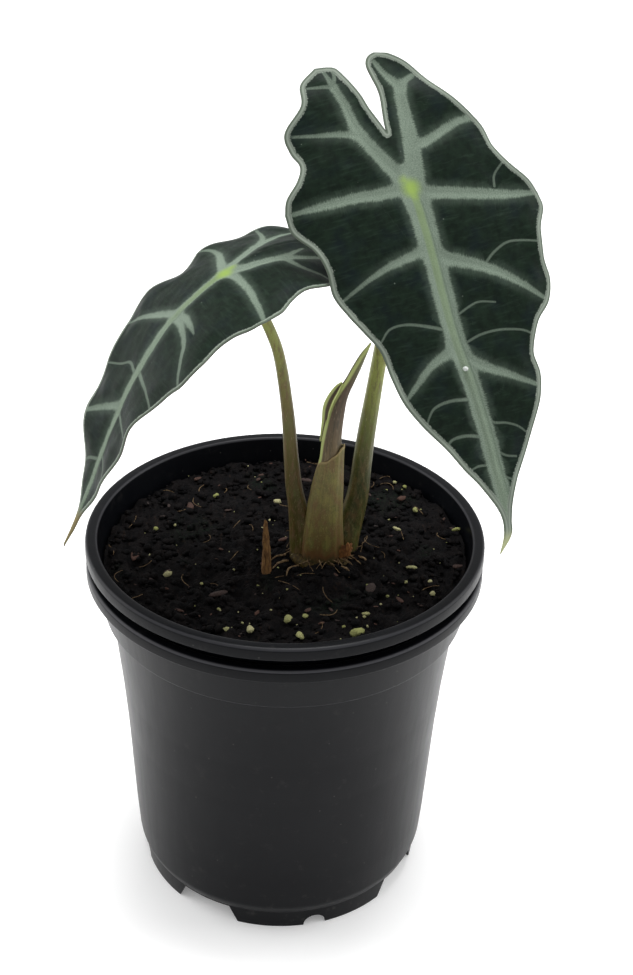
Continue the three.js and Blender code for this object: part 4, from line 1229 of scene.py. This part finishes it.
def make_sheath(material):
    """The sheath round the new leaf: an open, slanted mouth with a thin rim."""
    sides, rows, inside = SHEATH_MESH["sides"], SHEATH_MESH["rings"], SHEATH_INSIDE
    centre, radius, _, one, other = course_of(SHEATH, SHEATH_MESH["course"])
    angles = full_turn(sides)
    ribs = 1 + 0.012 * np.cos(9 * angles) + 0.008 * np.cos(17 * angles + 1)
    share = np.linspace(0, 1, len(centre))

    def ring(t, inset):
        courses = (centre, one, other)
        there = [np.stack([np.interp(t, share, c[:, k]) for k in range(3)], -1) for c in courses]
        size = np.interp(t, share, radius) * ribs - inset
        return about(*there, size, angles, SHEATH_FLATNESS)

    skin = np.array([ring(np.full(sides, t), 0) for t in share])
    mouth, slope = SHEATH_MOUTH["point"], math.tan(math.radians(SHEATH_MOUTH["slope"]))
    above = skin[..., 2] - mouth[2] - (skin[..., 0] - mouth[0]) * slope
    ends = np.array([np.interp(0, above[:, j], share) for j in range(sides)])
    ends = ends + 0.006 * np.sin(3 * angles) + 0.004 * np.sin(8 * angles + 1)
    from_slit = np.abs(turn_from(angles, SHEATH_SLIT["angle"]))
    ends = ends - SHEATH_SLIT["depth"] * (1 - smoothstep(0.0, SHEATH_SLIT["width"], from_slit))

    rings, edges, shares = [], [], []
    for i in range(rows + 1):
        t = ends * i / rows
        rings.append(ring(t, 0))
        edges.append((ends - t) * SHEATH_LENGTH * MM)
        shares.append(t)
    for inset, lift in SHEATH_RIM:
        rings.append(ring(ends + lift, inset))
        edges.append(np.zeros(sides))
        shares.append(ends)
    for i in range(inside["rings"] + 1):
        t = ends - inside["share"] * i / inside["rings"]
        rings.append(ring(t, inside["wall"] + inside["taper"] * i))
        edges.append(0.001 + (ends - t) * SHEATH_LENGTH * MM)
        shares.append(t)
    points = np.concatenate([*rings, [centre[0]], [rings[-1].mean(0)]])
    around = np.tile(angles * 7 * MM, len(rings))
    attributes = {
        "share": np.concatenate([*shares, [0, 0.7]]),
        "edge": np.concatenate([*edges, [0.05, 0.02]]),
        "around": np.concatenate([around, [0, 0]]),
    }
    faces = capped_faces(len(rings), sides)
    return make_piece("sheath_wrap", points, faces, material, ["leaf_sheath"], attributes)


def make_new_leaf(material):
    """The young leaf, still rolled: each turn's edge stands over the turn below it."""
    steps, sides, roll = 170, 96, NEW_LEAF_ROLL
    centre, radius, direction, one, other = course_of(NEW_LEAF, steps)
    share = np.linspace(0, 1, steps + 1)
    flatness = SHEATH_FLATNESS + (1 - SHEATH_FLATNESS) * smoothstep(0.25, 0.5, share)
    turn = np.arange(sides) / (sides - 1)
    angles = (roll["seam"] + roll["twist"] * share)[:, None] + turn * math.tau
    size = radius[:, None] * (1 - roll["step"] * turn**1.4)
    size = size * (1 + 0.02 * np.sin(6 * angles + 9 * share[:, None]))
    size = size * (1 + bell(turn, roll["lip_width"]) * roll["lip"])
    rings = about(centre[:, None], one[:, None], other[:, None], size, angles, flatness[:, None])
    points = np.concatenate([rings.reshape(-1, 3), centre[:1], centre[-1:] + direction[-1:] * 0.4])
    edge = np.minimum(radius[:, None] * turn * math.tau * MM, 0.02)
    attributes = {
        "share": np.concatenate([np.repeat(share, sides), [0, 1]]),
        "edge": np.concatenate([edge.ravel(), [0.02, 0]]),
        "around": np.concatenate([(angles * 3.2 * MM).ravel(), [0, 0]]),
    }
    flap_points, flap_faces, flap_attributes = leaf_flap()
    points, faces = joined([(points, capped_faces(steps + 1, sides)), (flap_points, flap_faces)])
    for key, values in flap_attributes.items():
        attributes[key] = np.concatenate([attributes[key], values])
    slot, nodes = "young_leaf", ["new_leaf"]
    return make_piece("rolled_leaf", points, faces, material, nodes, attributes, sharp=60)


def leaf_flap():
    """The loose, curled edge of the rolled leaf that stands away on its left."""
    steps, cells = 60, 14
    share, across = np.linspace(0, 1, steps + 1), np.linspace(0, 1, cells + 1)
    line = spline_at(np.array(LEAF_FLAP, float), share)
    direction = directions_along(line)
    inward = np.tile(np.array((1.0, 0.25, 0)), (steps + 1, 1))
    inward -= direction * (inward * direction).sum(1, keepdims=True)
    inward /= np.linalg.norm(inward, axis=1, keepdims=True)
    front = np.cross(direction, inward)
    width = FLAP_SHEET["width"] * np.sin(math.pi * np.clip(share * 0.95 + 0.02, 0, 1)) ** 0.6
    curl = across * FLAP_SHEET["curl"]

    def moved(amounts, ways):
        return amounts[None, :, None] * ways[:, None, :]

    spread_in = moved(np.sin(curl) * 0.62, width[:, None] * inward)
    spread_out = moved((1 - np.cos(curl)) * 0.55 + 0.02, width[:, None] * front)
    sheets = []
    for depth in (0, FLAP_SHEET["thickness"]):
        shift = moved(np.cos(curl) * depth, front) - moved(np.sin(curl) * depth, inward)
        sheets.append((line[:, None, :] + spread_in - spread_out - shift).reshape(-1, 3))
    count, row = (steps + 1) * (cells + 1), cells + 1
    top = grid_faces(steps + 1, row)
    faces = top + [tuple(i + count for i in face[::-1]) for face in top]
    border = [i * row for i in range(steps + 1)]
    border += [steps * row + j for j in range(1, row)]
    border += [i * row + cells for i in range(steps - 1, -1, -1)]
    border += list(range(cells - 1, 0, -1))
    for here, there in zip(border, border[1:] + border[:1]):
        faces.append((here, there, there + count, here + count))
    attributes = {
        "share": np.tile(np.repeat(0.4 + 0.4 * share, row), 2),
        "edge": np.tile(np.minimum(across, 1 - across) * FLAP_SHEET["width"] * MM * 1.6, (steps + 1) * 2),
        "around": np.tile(across * 4 * MM, (steps + 1) * 2),
    }
    return np.concatenate(sheets), faces, attributes


def make_stub(material):
    def section(share, angle):
        return 1 + 0.14 * np.cos(3 * angle + 4 * share) + 0.08 * np.cos(7 * angle + 9 * share)

    points, faces, _ = tube(DRY_STUB, 70, 24, section)
    points = roughened(points, 0.25, 3, 3)
    return make_piece("dried_stalk", points, faces, material, ["dry_stub"])


def ellipsoid(spec, level):
    """A leaning, turned ellipsoid's points and faces, with the same points on a unit ball."""
    base, faces = ball(level)
    shaped = turned(base * np.array(spec["radii"]), spec.get("lean", 0), axis=0)
    return turned(shaped, spec.get("turn", 0)) + np.array(spec["centre"]), faces, base


def make_corm(material):
    """The crown: a rough ball, wider in a collar just above the soil and flat on top."""
    points, faces, base = ellipsoid(CORM, 5)
    swell = 0.9 * bumps(points, 5, 5, 4) - 0.3
    points = points + base * swell[:, None]
    collar = 1 + CORM_COLLAR["bulge"] * bell(points[:, 2] - CORM_COLLAR["height"], CORM_COLLAR["spread"])
    centre = np.array(CORM["centre"])[:2]
    points[:, :2] = centre + (points[:, :2] - centre) * collar[:, None]
    points[:, 2] = np.minimum(points[:, 2], CORM_TOP)
    return make_piece("crown_base", points, faces, material, ["corm"])


def make_scale(material):
    """A dry, papery scale: a thin cupped sheet with a torn edge."""
    points, faces, base = ellipsoid(SCALE, 4)
    torn = 1 + 0.12 * np.sin(9 * np.arctan2(base[:, 2], base[:, 0]))
    centre = np.array(SCALE["centre"])
    points = centre + (points - centre) * np.column_stack([torn, np.ones_like(torn), torn]) * 0.95
    cup = 1.1 * (base[:, 0] ** 2 - 0.3)
    outward = turned([(0, 1, 0)], SCALE["turn"])[0]
    points = roughened(points, 0.3, 2, 6) + outward * cup[:, None]
    return make_piece("papery_scale", points, faces, material, ["sheath_scale"])


def make_roots(material):
    meshes = []
    for points in SURFACE_ROOTS:
        slim = [(x, y, z - 0.3 * r, ROOT_SLIMNESS * r) for x, y, z, r in points]
        meshes.append(tube(slim, 24, 14, lambda s, a: 1 + 0.12 * np.sin(14 * s + 3 * a))[:2])
    points, faces = joined(meshes)
    nodes = numbered("surface_root", SURFACE_ROOTS)
    return make_piece("surface_roots", roughened(points, 0.18, 1.5, 7), faces, material, nodes)


def make_crown_roots(material):
    """Short pale roots that spread in a tangle from the foot of the plant."""
    rng = random.Random(SEED + 4)
    roots = CROWN_ROOTS
    meshes = []
    for _ in range(roots["count"]):
        angle = math.tau * rng.random()
        bend = rng.uniform(-roots["bend"], roots["bend"])
        start, length = rng.uniform(*roots["start"]), rng.uniform(*roots["length"])
        rise, thick = rng.uniform(*roots["rise"]), rng.uniform(*roots["radius"])
        line = []
        for t in np.linspace(0, 1, 5):
            reach = start + length * t
            turn = angle + bend * t * length / reach
            x = CROWN[0] + roots["stretch"] * reach * math.sin(turn)
            y = CROWN[1] - reach * math.cos(turn)
            arch = rise * (1 - t) ** 2 + 0.35 * math.sin(math.pi * t) - 0.25 * t
            line.append((x, y, float(soil_height(x, y)) + arch, thick * (1 - 0.6 * t)))
        meshes.append(tube(line, 16, 7)[:2])
    points, faces = joined(meshes)
    return make_piece("crown_roots", roughened(points, 0.16, 1.2, 9), faces, material)


# Blades


def leaf_surface(leaf):
    """Maps points of the flat leaf to their places on the bent one."""
    angle = math.radians(leaf["heading"])
    heading = np.array((math.cos(angle), math.sin(angle), 0))
    across = np.array((-heading[1], heading[0], 0))
    up = np.array((0, 0, 1.0))
    step, reach = 0.5, 80
    stops = np.arange(-reach, leaf["length"] + 20 + step, step)
    middles = (stops[1:] + stops[:-1]) / 2
    fall = np.radians(station_value(PITCH_STATIONS, leaf["pitch"], middles / leaf["length"]))
    moves = step * (np.cos(fall)[:, None] * heading - np.sin(fall)[:, None] * up)
    course = np.concatenate([np.zeros((1, 3)), np.cumsum(moves, axis=0)])
    course = course - course[round(reach / step)] + np.array(leaf["joint"])

    def surface(a, b):
        station = a / leaf["length"]
        fall_here = np.radians(station_value(PITCH_STATIONS, leaf["pitch"], station))
        normal = np.cos(fall_here)[..., None] * up + np.sin(fall_here)[..., None] * heading
        near = np.radians(station_value(SIDE_STATIONS, leaf["near"], station))
        far = np.radians(station_value(SIDE_STATIONS, leaf["far"], station))
        share = 1 / (1 + np.exp(-b / FOLD_WIDTH))
        side = b * (np.cos(near) * share + np.cos(far) * (1 - share))
        lift = (np.sqrt(b * b + 1) - 1) * (np.sin(near) * share + np.sin(far) * (1 - share))
        droop = (leaf["curl"][0] * share + leaf["curl"][1] * (1 - share)) * b * b
        place = np.stack([np.interp(a, stops, course[:, k]) for k in range(3)], -1)
        return place + across * side[..., None] + normal * (lift - droop)[..., None]

    return surface


def strip(rows, ribs, flip):
    """Flat points and triangles of one strip of the blade."""
    columns = spline_at(np.array(rows, float), np.linspace(0, 1, ribs + 1))
    cells = np.arange(-BLADE_CELLS, BLADE_CELLS + 1)
    share = np.abs(cells) / BLADE_CELLS
    near = cells > 0
    vein, one, other = columns[:, 0:2], columns[:, 2:4], columns[:, 4:6]
    margin = np.where(near[None, :, None], one[:, None, :], other[:, None, :])
    flat = vein[:, None, :] * (1 - share)[None, :, None] + margin * share[None, :, None]
    width = len(cells)
    triangles = []
    for p, q, r, s in grid_faces(ribs + 1, width):
        triangles += [(p, r, q), (p, s, r)] if flip else [(p, q, r), (p, r, s)]
    return flat.reshape(-1, 2), np.array(triangles)


def outline_of(leaf):
    """The leaf's flat outline as a closed line, round both lobes and down to the tip."""
    t = np.linspace(0, 1, 120)
    parts = (leaf["middle"], leaf["near_lobe"], leaf["far_lobe"])
    middle, near, far = (spline_at(np.array(rows, float), t) for rows in parts)
    inner_near, inner_far = near[:, 4:6][::-1], far[:, 4:6]
    if leaf["lobes_overlap"]:
        inner_near, inner_far = inner_near[:30], inner_far[-30:]
    near_side = [middle[:, 2:4][::-1], near[:, 2:4], inner_near]
    return np.concatenate([*near_side, inner_far, far[:, 2:4][::-1], middle[:, 4:6]])


def nearest_on(points, starts, ends, start_radii, end_radii):
    """Distance to the nearest of some tapering lines, and that line's number and share."""
    best = np.full(len(points), 1e9)
    which = np.zeros(len(points), int)
    where = np.zeros(len(points))
    span = ends - starts
    length = np.maximum((span**2).sum(1), 1e-9)
    for first in range(0, len(points), BATCH):
        batch = slice(first, first + BATCH)
        some = points[batch]
        away = some[:, None, :] - starts[None]
        t = np.clip((away * span[None]).sum(2) / length[None], 0, 1)
        gap = np.linalg.norm(away - span[None] * t[..., None], axis=2)
        gap -= start_radii[None] * (1 - t) + end_radii[None] * t
        index = gap.argmin(1)
        rows = np.arange(len(some))
        best[batch], which[batch], where[batch] = gap[rows, index], index, t[rows, index]
    return best, which, where


def vein_values(veins, flat):
    """What the blade's points know of the veins.

    That is the signed distance to the veins' edges, the same without the fine veins, the distance run
    along the nearest vein, its weight, and the signed distance to the nearest fine vein's centre with
    its half width. Where veins meet, their edges run into each other in a curve. A fine vein is
    narrower than the mesh's cells, so only the signed distance to its centre keeps it whole.
    """
    total, bold_total, along, width = np.zeros((4, len(flat)))
    offset, line_half = np.full(len(flat), FINE_REACH), np.full(len(flat), -FINE_REACH)
    nearest, nearest_line = np.full((2, len(flat)), 1e9)
    base = 0.0
    for line, widths in veins:
        fine = spline_at(np.array(line, float), np.linspace(0, 1, 6 * (len(line) - 1) + 1))
        spread = np.linspace(0, len(widths) - 1, len(fine))
        radii = np.interp(spread, np.arange(len(widths)), widths) / 2
        steps = np.linalg.norm(np.diff(fine, axis=0), axis=1)
        run = base + np.concatenate([[0], np.cumsum(steps)])
        gap, which, where = nearest_on(flat, fine[:-1], fine[1:], radii[:-1], radii[1:])
        weight = np.exp(-np.minimum(gap, 40) / VEIN_FILLET)
        radius = radii[which] * (1 - where) + radii[which + 1] * where
        total += weight
        if max(widths) > FINE_WIDTH:
            bold_total += weight
        else:
            centre = gap + radius
            span, away = fine[which + 1] - fine[which], flat - fine[which]
            side = np.sign(span[:, 0] * away[:, 1] - span[:, 1] * away[:, 0])
            past_end = ((which == 0) & (where <= 0)) | ((which == len(fine) - 2) & (where >= 1))
            taken = centre < nearest_line
            half = np.where((centre < FINE_REACH) & ~past_end, radius, -FINE_REACH)
            offset = np.where(taken, side * np.minimum(centre, 2 * FINE_REACH), offset)
            line_half = np.where(taken, half, line_half)
            nearest_line = np.minimum(nearest_line, centre)
        closer = gap < nearest
        nearest = np.where(closer, gap, nearest)
        along = np.where(closer, run[which] + where * steps[which], along)
        width = np.where(closer, 2 * radius, width)
        base += steps.sum() + VEIN_SPACING
    return {
        "vein": -VEIN_FILLET * np.log(total),
        "wide_vein": -VEIN_FILLET * np.log(bold_total),
        "along": along,
        "bold": np.clip((width - THIN_WIDTH) / BOLD_WIDTH, 0.05, 1),
        "line": offset,
        "line_half": line_half,
    }


def blade_skin(leaf, veins):
    """The blade's flat points and triangles, with what the material and the relief need to know."""
    middle_part = strip(leaf["middle"], MIDDLE_RIBS, False)
    near_lobe = strip(leaf["near_lobe"], LOBE_RIBS, True)
    far_lobe = strip(leaf["far_lobe"], LOBE_RIBS, False)
    flat, triangles = joined([middle_part, near_lobe, far_lobe])
    triangles, sunk = np.array(triangles), np.zeros(len(flat))
    if leaf["lobes_overlap"]:
        a, b = far_lobe[0].T
        lower = smoothstep(LOBE_SINKING["from"], LOBE_SINKING["to"], a)
        sunk[-len(a):] = LOBE_OVERLAP * smoothstep(LOBE_SINKING["across"], 0, np.abs(b)) * lower
    keys = np.round(np.column_stack([flat, sunk]) / 1e-4).astype(np.int64)
    _, kept, index = np.unique(keys, axis=0, return_index=True, return_inverse=True)
    flat, sunk, triangles = flat[kept], sunk[kept], index.ravel()[triangles]
    whole = (triangles[:, 0] != triangles[:, 1]) & (triangles[:, 1] != triangles[:, 2])
    triangles = triangles[whole & (triangles[:, 0] != triangles[:, 2])]
    outline = outline_of(leaf)
    nothing = np.zeros(len(outline) - 1)
    margin, _, _ = nearest_on(flat, outline[:-1], outline[1:], nothing, nothing)
    rib = spline_at(np.array(veins[0][0], float), np.linspace(0, 1, 90))
    middle = flat[:, 1] - np.interp(flat[:, 0], rib[:, 0], rib[:, 1])
    return flat, triangles, sunk, vein_values(veins, flat) | {"margin": margin, "middle": middle}


def border_edges(triangles):
    """Edges that only one triangle has, in that triangle's own order."""
    edges = np.concatenate([triangles[:, (0, 1)], triangles[:, (1, 2)], triangles[:, (2, 0)]])
    there = set(map(tuple, edges))
    return [(a, b) for a, b in edges if (b, a) not in there]


def make_blade(name, node, leaf, veins, material, spot_places, seed):
    """One blade: its upper side, its underside and a rounded rim between them."""
    flat, triangles, sunk, known = blade_skin(leaf, veins)
    vein, margin, middle = known["vein"], known["margin"], known["middle"]
    base = leaf_surface(leaf)(flat[:, 0], flat[:, 1])
    normals = vertex_normals(base, triangles)
    if normals[:, 2].mean() < 0:
        triangles = triangles[:, ::-1]
        normals = -normals
    inside = smoothstep(0, 7, margin)
    quilt = QUILT["height"] * (1 - np.exp(-np.maximum(vein, 0) / QUILT["reach"])) * inside
    furrow = -FURROW * np.clip(-vein / 2, 0, 1)
    ridge = MIDRIB_RIDGE["height"] * bell(middle, MIDRIB_RIDGE["width"])
    ridge = ridge * smoothstep(0.5, -0.5, vein) * smoothstep(4, 10, flat[:, 0])
    sway = SWAY["height"] * bumps(np.column_stack([flat, np.zeros(len(flat))]), SWAY["size"], seed) * inside
    wave = flat[:, 0] * math.tau / RUFFLE["length"] + 1.7 * np.sign(flat[:, 1]) + seed
    ruffle = RUFFLE["height"] * np.sin(wave) * smoothstep(RUFFLE["reach"], 0, margin)
    ruffle = ruffle * smoothstep(3, 12, np.abs(flat[:, 1]))
    top = base + normals * (quilt + furrow + ridge + sway + ruffle - sunk)[:, None]
    keel = KEEL * smoothstep(0.6, -2.2, vein) * smoothstep(0.5, 3, margin)
    bottom = top - normals * (BLADE_THICKNESS + keel + 0.2 * (1 - inside))[:, None]
    count = len(flat)
    edges = border_edges(triangles)
    rim_ids = sorted({int(i) for edge in edges for i in edge})
    rim_of = {i: 2 * count + k for k, i in enumerate(rim_ids)}
    outward = rim_directions(base, normals, edges, rim_ids)
    rim = (top[rim_ids] + bottom[rim_ids]) / 2 + RIM_BULGE * outward
    points = np.concatenate([top, bottom, rim])
    faces = [tuple(t) for t in triangles] + [tuple(t[::-1] + count) for t in triangles]
    for a, b in edges:
        a, b = int(a), int(b)
        faces.append((b, a, rim_of[a], rim_of[b]))
        faces.append((rim_of[b], rim_of[a], a + count, b + count))
    spot = np.min([np.hypot(flat[:, 0] - a, flat[:, 1] - b) + c for a, b, c in spot_places], axis=0)
    tip = smoothstep(leaf["tip_from"], leaf["tip_from"] + 6, flat[:, 0])

    def everywhere(values):
        return np.concatenate([values, values, np.asarray(values)[rim_ids]])

    attributes = {
        "vein": everywhere(np.clip(known["wide_vein"], -6, 14) * MM),
        "line": everywhere(known["line"] * MM),
        "line_half": everywhere(known["line_half"] * MM),
        "along": everywhere(known["along"] * MM),
        "bold": everywhere(known["bold"]),
        "margin": everywhere(np.minimum(margin, 14) * MM),
        "middle": everywhere(middle * MM),
        "flat_a": everywhere(flat[:, 0] * MM),
        "flat_b": everywhere(flat[:, 1] * MM),
        "spot": everywhere(np.minimum(spot, 20) * MM),
        "tip": everywhere(tip),
        "under": np.concatenate([np.zeros(count), np.ones(count), np.full(len(rim_ids), 0.3)]),
    }
    return make_piece(name, points, faces, material, [node], attributes)


def rim_directions(points, normals, edges, rim_ids):
    """For each point of the margin, the way out of the blade in its own plane."""
    out = np.zeros_like(points)
    for a, b in edges:
        way = np.cross(points[b] - points[a], normals[a])
        out[a] += way
        out[b] += way
    out = out[rim_ids]
    return out / np.maximum(np.linalg.norm(out, axis=1, keepdims=True), 1e-9)


def make_drop(material):
    """One drop of water on the right leaf's midrib."""
    a, b = np.array([WATER_DROP["along"]]), np.array([WATER_DROP["across"]])
    base, faces = ball(3)
    points = base * (1.0, 1.0, WATER_DROP["height"]) + leaf_surface(RIGHT_LEAF)(a, b)[0]
    points = points + WATER_DROP["shift"]
    return make_piece("water_drop", points, faces, material)


# Floor, light and camera


def make_floor():
    s = Shader("white_sweep")
    color = s.mix(s.noise(180, 2, 0.5), *FLOOR_TINTS)
    glow = {"Emission_Color": (1, 1, 1, 1), "Emission_Strength": FLOOR_GLOW}
    mesh = bpy.data.meshes.new("floor")
    bm = bmesh.new()
    bmesh.ops.create_circle(bm, cap_ends=True, radius=FLOOR_RADIUS, segments=96)
    bm.to_mesh(mesh)
    bm.free()
    mesh.materials.append(s.finish(color, 0.75, Specular_IOR_Level=0.1, **glow))
    floor = bpy.data.objects.new("floor", mesh)
    bpy.context.scene.collection.objects.link(floor)


def make_light(name, place, size, power):
    lamp = bpy.data.lights.new(name, "AREA")
    lamp.shape = "RECTANGLE"
    lamp.size, lamp.size_y = size
    lamp.energy = power
    holder = bpy.data.objects.new(name, lamp)
    holder.location = place
    holder.rotation_euler = (Vector(LIGHT_AIM) - Vector(place)).to_track_quat("-Z", "Y").to_euler()
    bpy.context.scene.collection.objects.link(holder)


def make_lights():
    world = bpy.data.worlds.new("studio")
    world.use_nodes = True
    back = world.node_tree.nodes["Background"]
    back.inputs["Color"].default_value = (1, 1, 1, 1)
    back.inputs["Strength"].default_value = WORLD_STRENGTH
    scene = bpy.context.scene
    scene.world = world
    for light in LIGHTS:
        make_light(*light)
    scene.view_settings.view_transform = "Standard"
    scene.view_settings.look = "None"


def make_camera():
    elevation, roll = math.radians(CAMERA_ELEVATION), math.radians(CAMERA_ROLL)
    back = Vector((0, -math.cos(elevation), math.sin(elevation)))
    right = Vector((1, 0, 0))
    up = back.cross(right)
    right_rolled = math.cos(roll) * right + math.sin(roll) * up
    up_rolled = math.cos(roll) * up - math.sin(roll) * right
    turn = Matrix((right_rolled, up_rolled, back)).transposed()
    camera_data = bpy.data.cameras.new("camera")
    camera_data.sensor_width = SENSOR
    camera_data.lens = FOCAL_PIXELS * SENSOR / max(IMAGE_SIZE)
    camera_data.clip_start, camera_data.clip_end = CLIP
    camera = bpy.data.objects.new("camera", camera_data)
    aim = Vector(placed(CAMERA_AIM))
    camera.matrix_world = Matrix.Translation(aim + back * CAMERA_DISTANCE * MM) @ turn.to_4x4()
    bpy.context.scene.collection.objects.link(camera)
    bpy.context.scene.camera = camera


def make_pots():
    # The pale lines at the lips and at the collar's crease are painted highlights
    outer_highlight_lines = ((POT_HEIGHT - HIGHLIGHT_LINE_DROP, 0.45), (COLLAR_BOTTOM, 0.25))
    inner_highlight_lines = ((POT_HEIGHT + NEST_OFFSET - HIGHLIGHT_LINE_DROP, 0.2),)
    make_pot("outer_pot", "outer_pot_moulding", pot_material("outer_pot_plastic", outer_highlight_lines))
    make_pot("inner_pot", "inner_pot_moulding", pot_material("inner_pot_plastic", inner_highlight_lines))


def make_ground():
    """The soil with what lies on it, and the roots."""
    soil = soil_material()
    make_soil(soil)
    make_crumbs(soil)
    make_perlite(grain_material("perlite_grain", (148, 144, 108), (112, 116, 62), (72, 66, 42)))
    make_bark(grain_material("bark_flake", (64, 38, 26), (34, 26, 24), (24, 18, 16)))
    root_skin = dry_material("root_skin", (118, 100, 72), (66, 48, 32))
    make_fibres(root_skin)
    make_roots(root_skin)
    make_crown_roots(root_skin)


def make_plant():
    make_corm(dry_material("crown_skin", (70, 58, 24), (40, 30, 12)))
    make_stub(dry_material("stub_skin", (124, 92, 54), (72, 50, 30)))
    make_scale(dry_material("dry_skin", (128, 88, 48), (76, 44, 24)))
    left_colours = ((60, 56, 15), (98, 91, 50), (136, 146, 74), (98, 76, 56))
    right_colours = ((42, 46, 8), (128, 136, 62), (150, 158, 86), (88, 80, 46))
    left_skin = stalk_material("left_stalk_skin", *left_colours)
    right_skin = stalk_material("right_stalk_skin", *right_colours)
    make_petiole("left_stalk", "left_petiole", LEFT_PETIOLE, left_skin, 1.3, 2.7)
    make_petiole("right_stalk", "right_petiole", RIGHT_PETIOLE, right_skin, 2.1, 0.3)
    make_sheath(sheath_material())
    make_new_leaf(young_leaf_material())
    left_green = blade_material("left_blade_skin", 0.03, 1.2, (112, 102, 72), 0.045, 0.015)
    right_green = blade_material("right_blade_skin", 0.075, 2.0, (150, 154, 118), 0.06, 0.01)
    make_blade("left_blade", "left_leaf", LEFT_LEAF, LEFT_VEINS, left_green, LEFT_SPOTS, 11)
    make_blade("right_blade", "right_leaf", RIGHT_LEAF, RIGHT_VEINS, right_green, RIGHT_SPOTS, 12)
    make_drop(water_material())


make_camera()
make_lights()
make_floor()
make_pots()
make_ground()
make_plant()
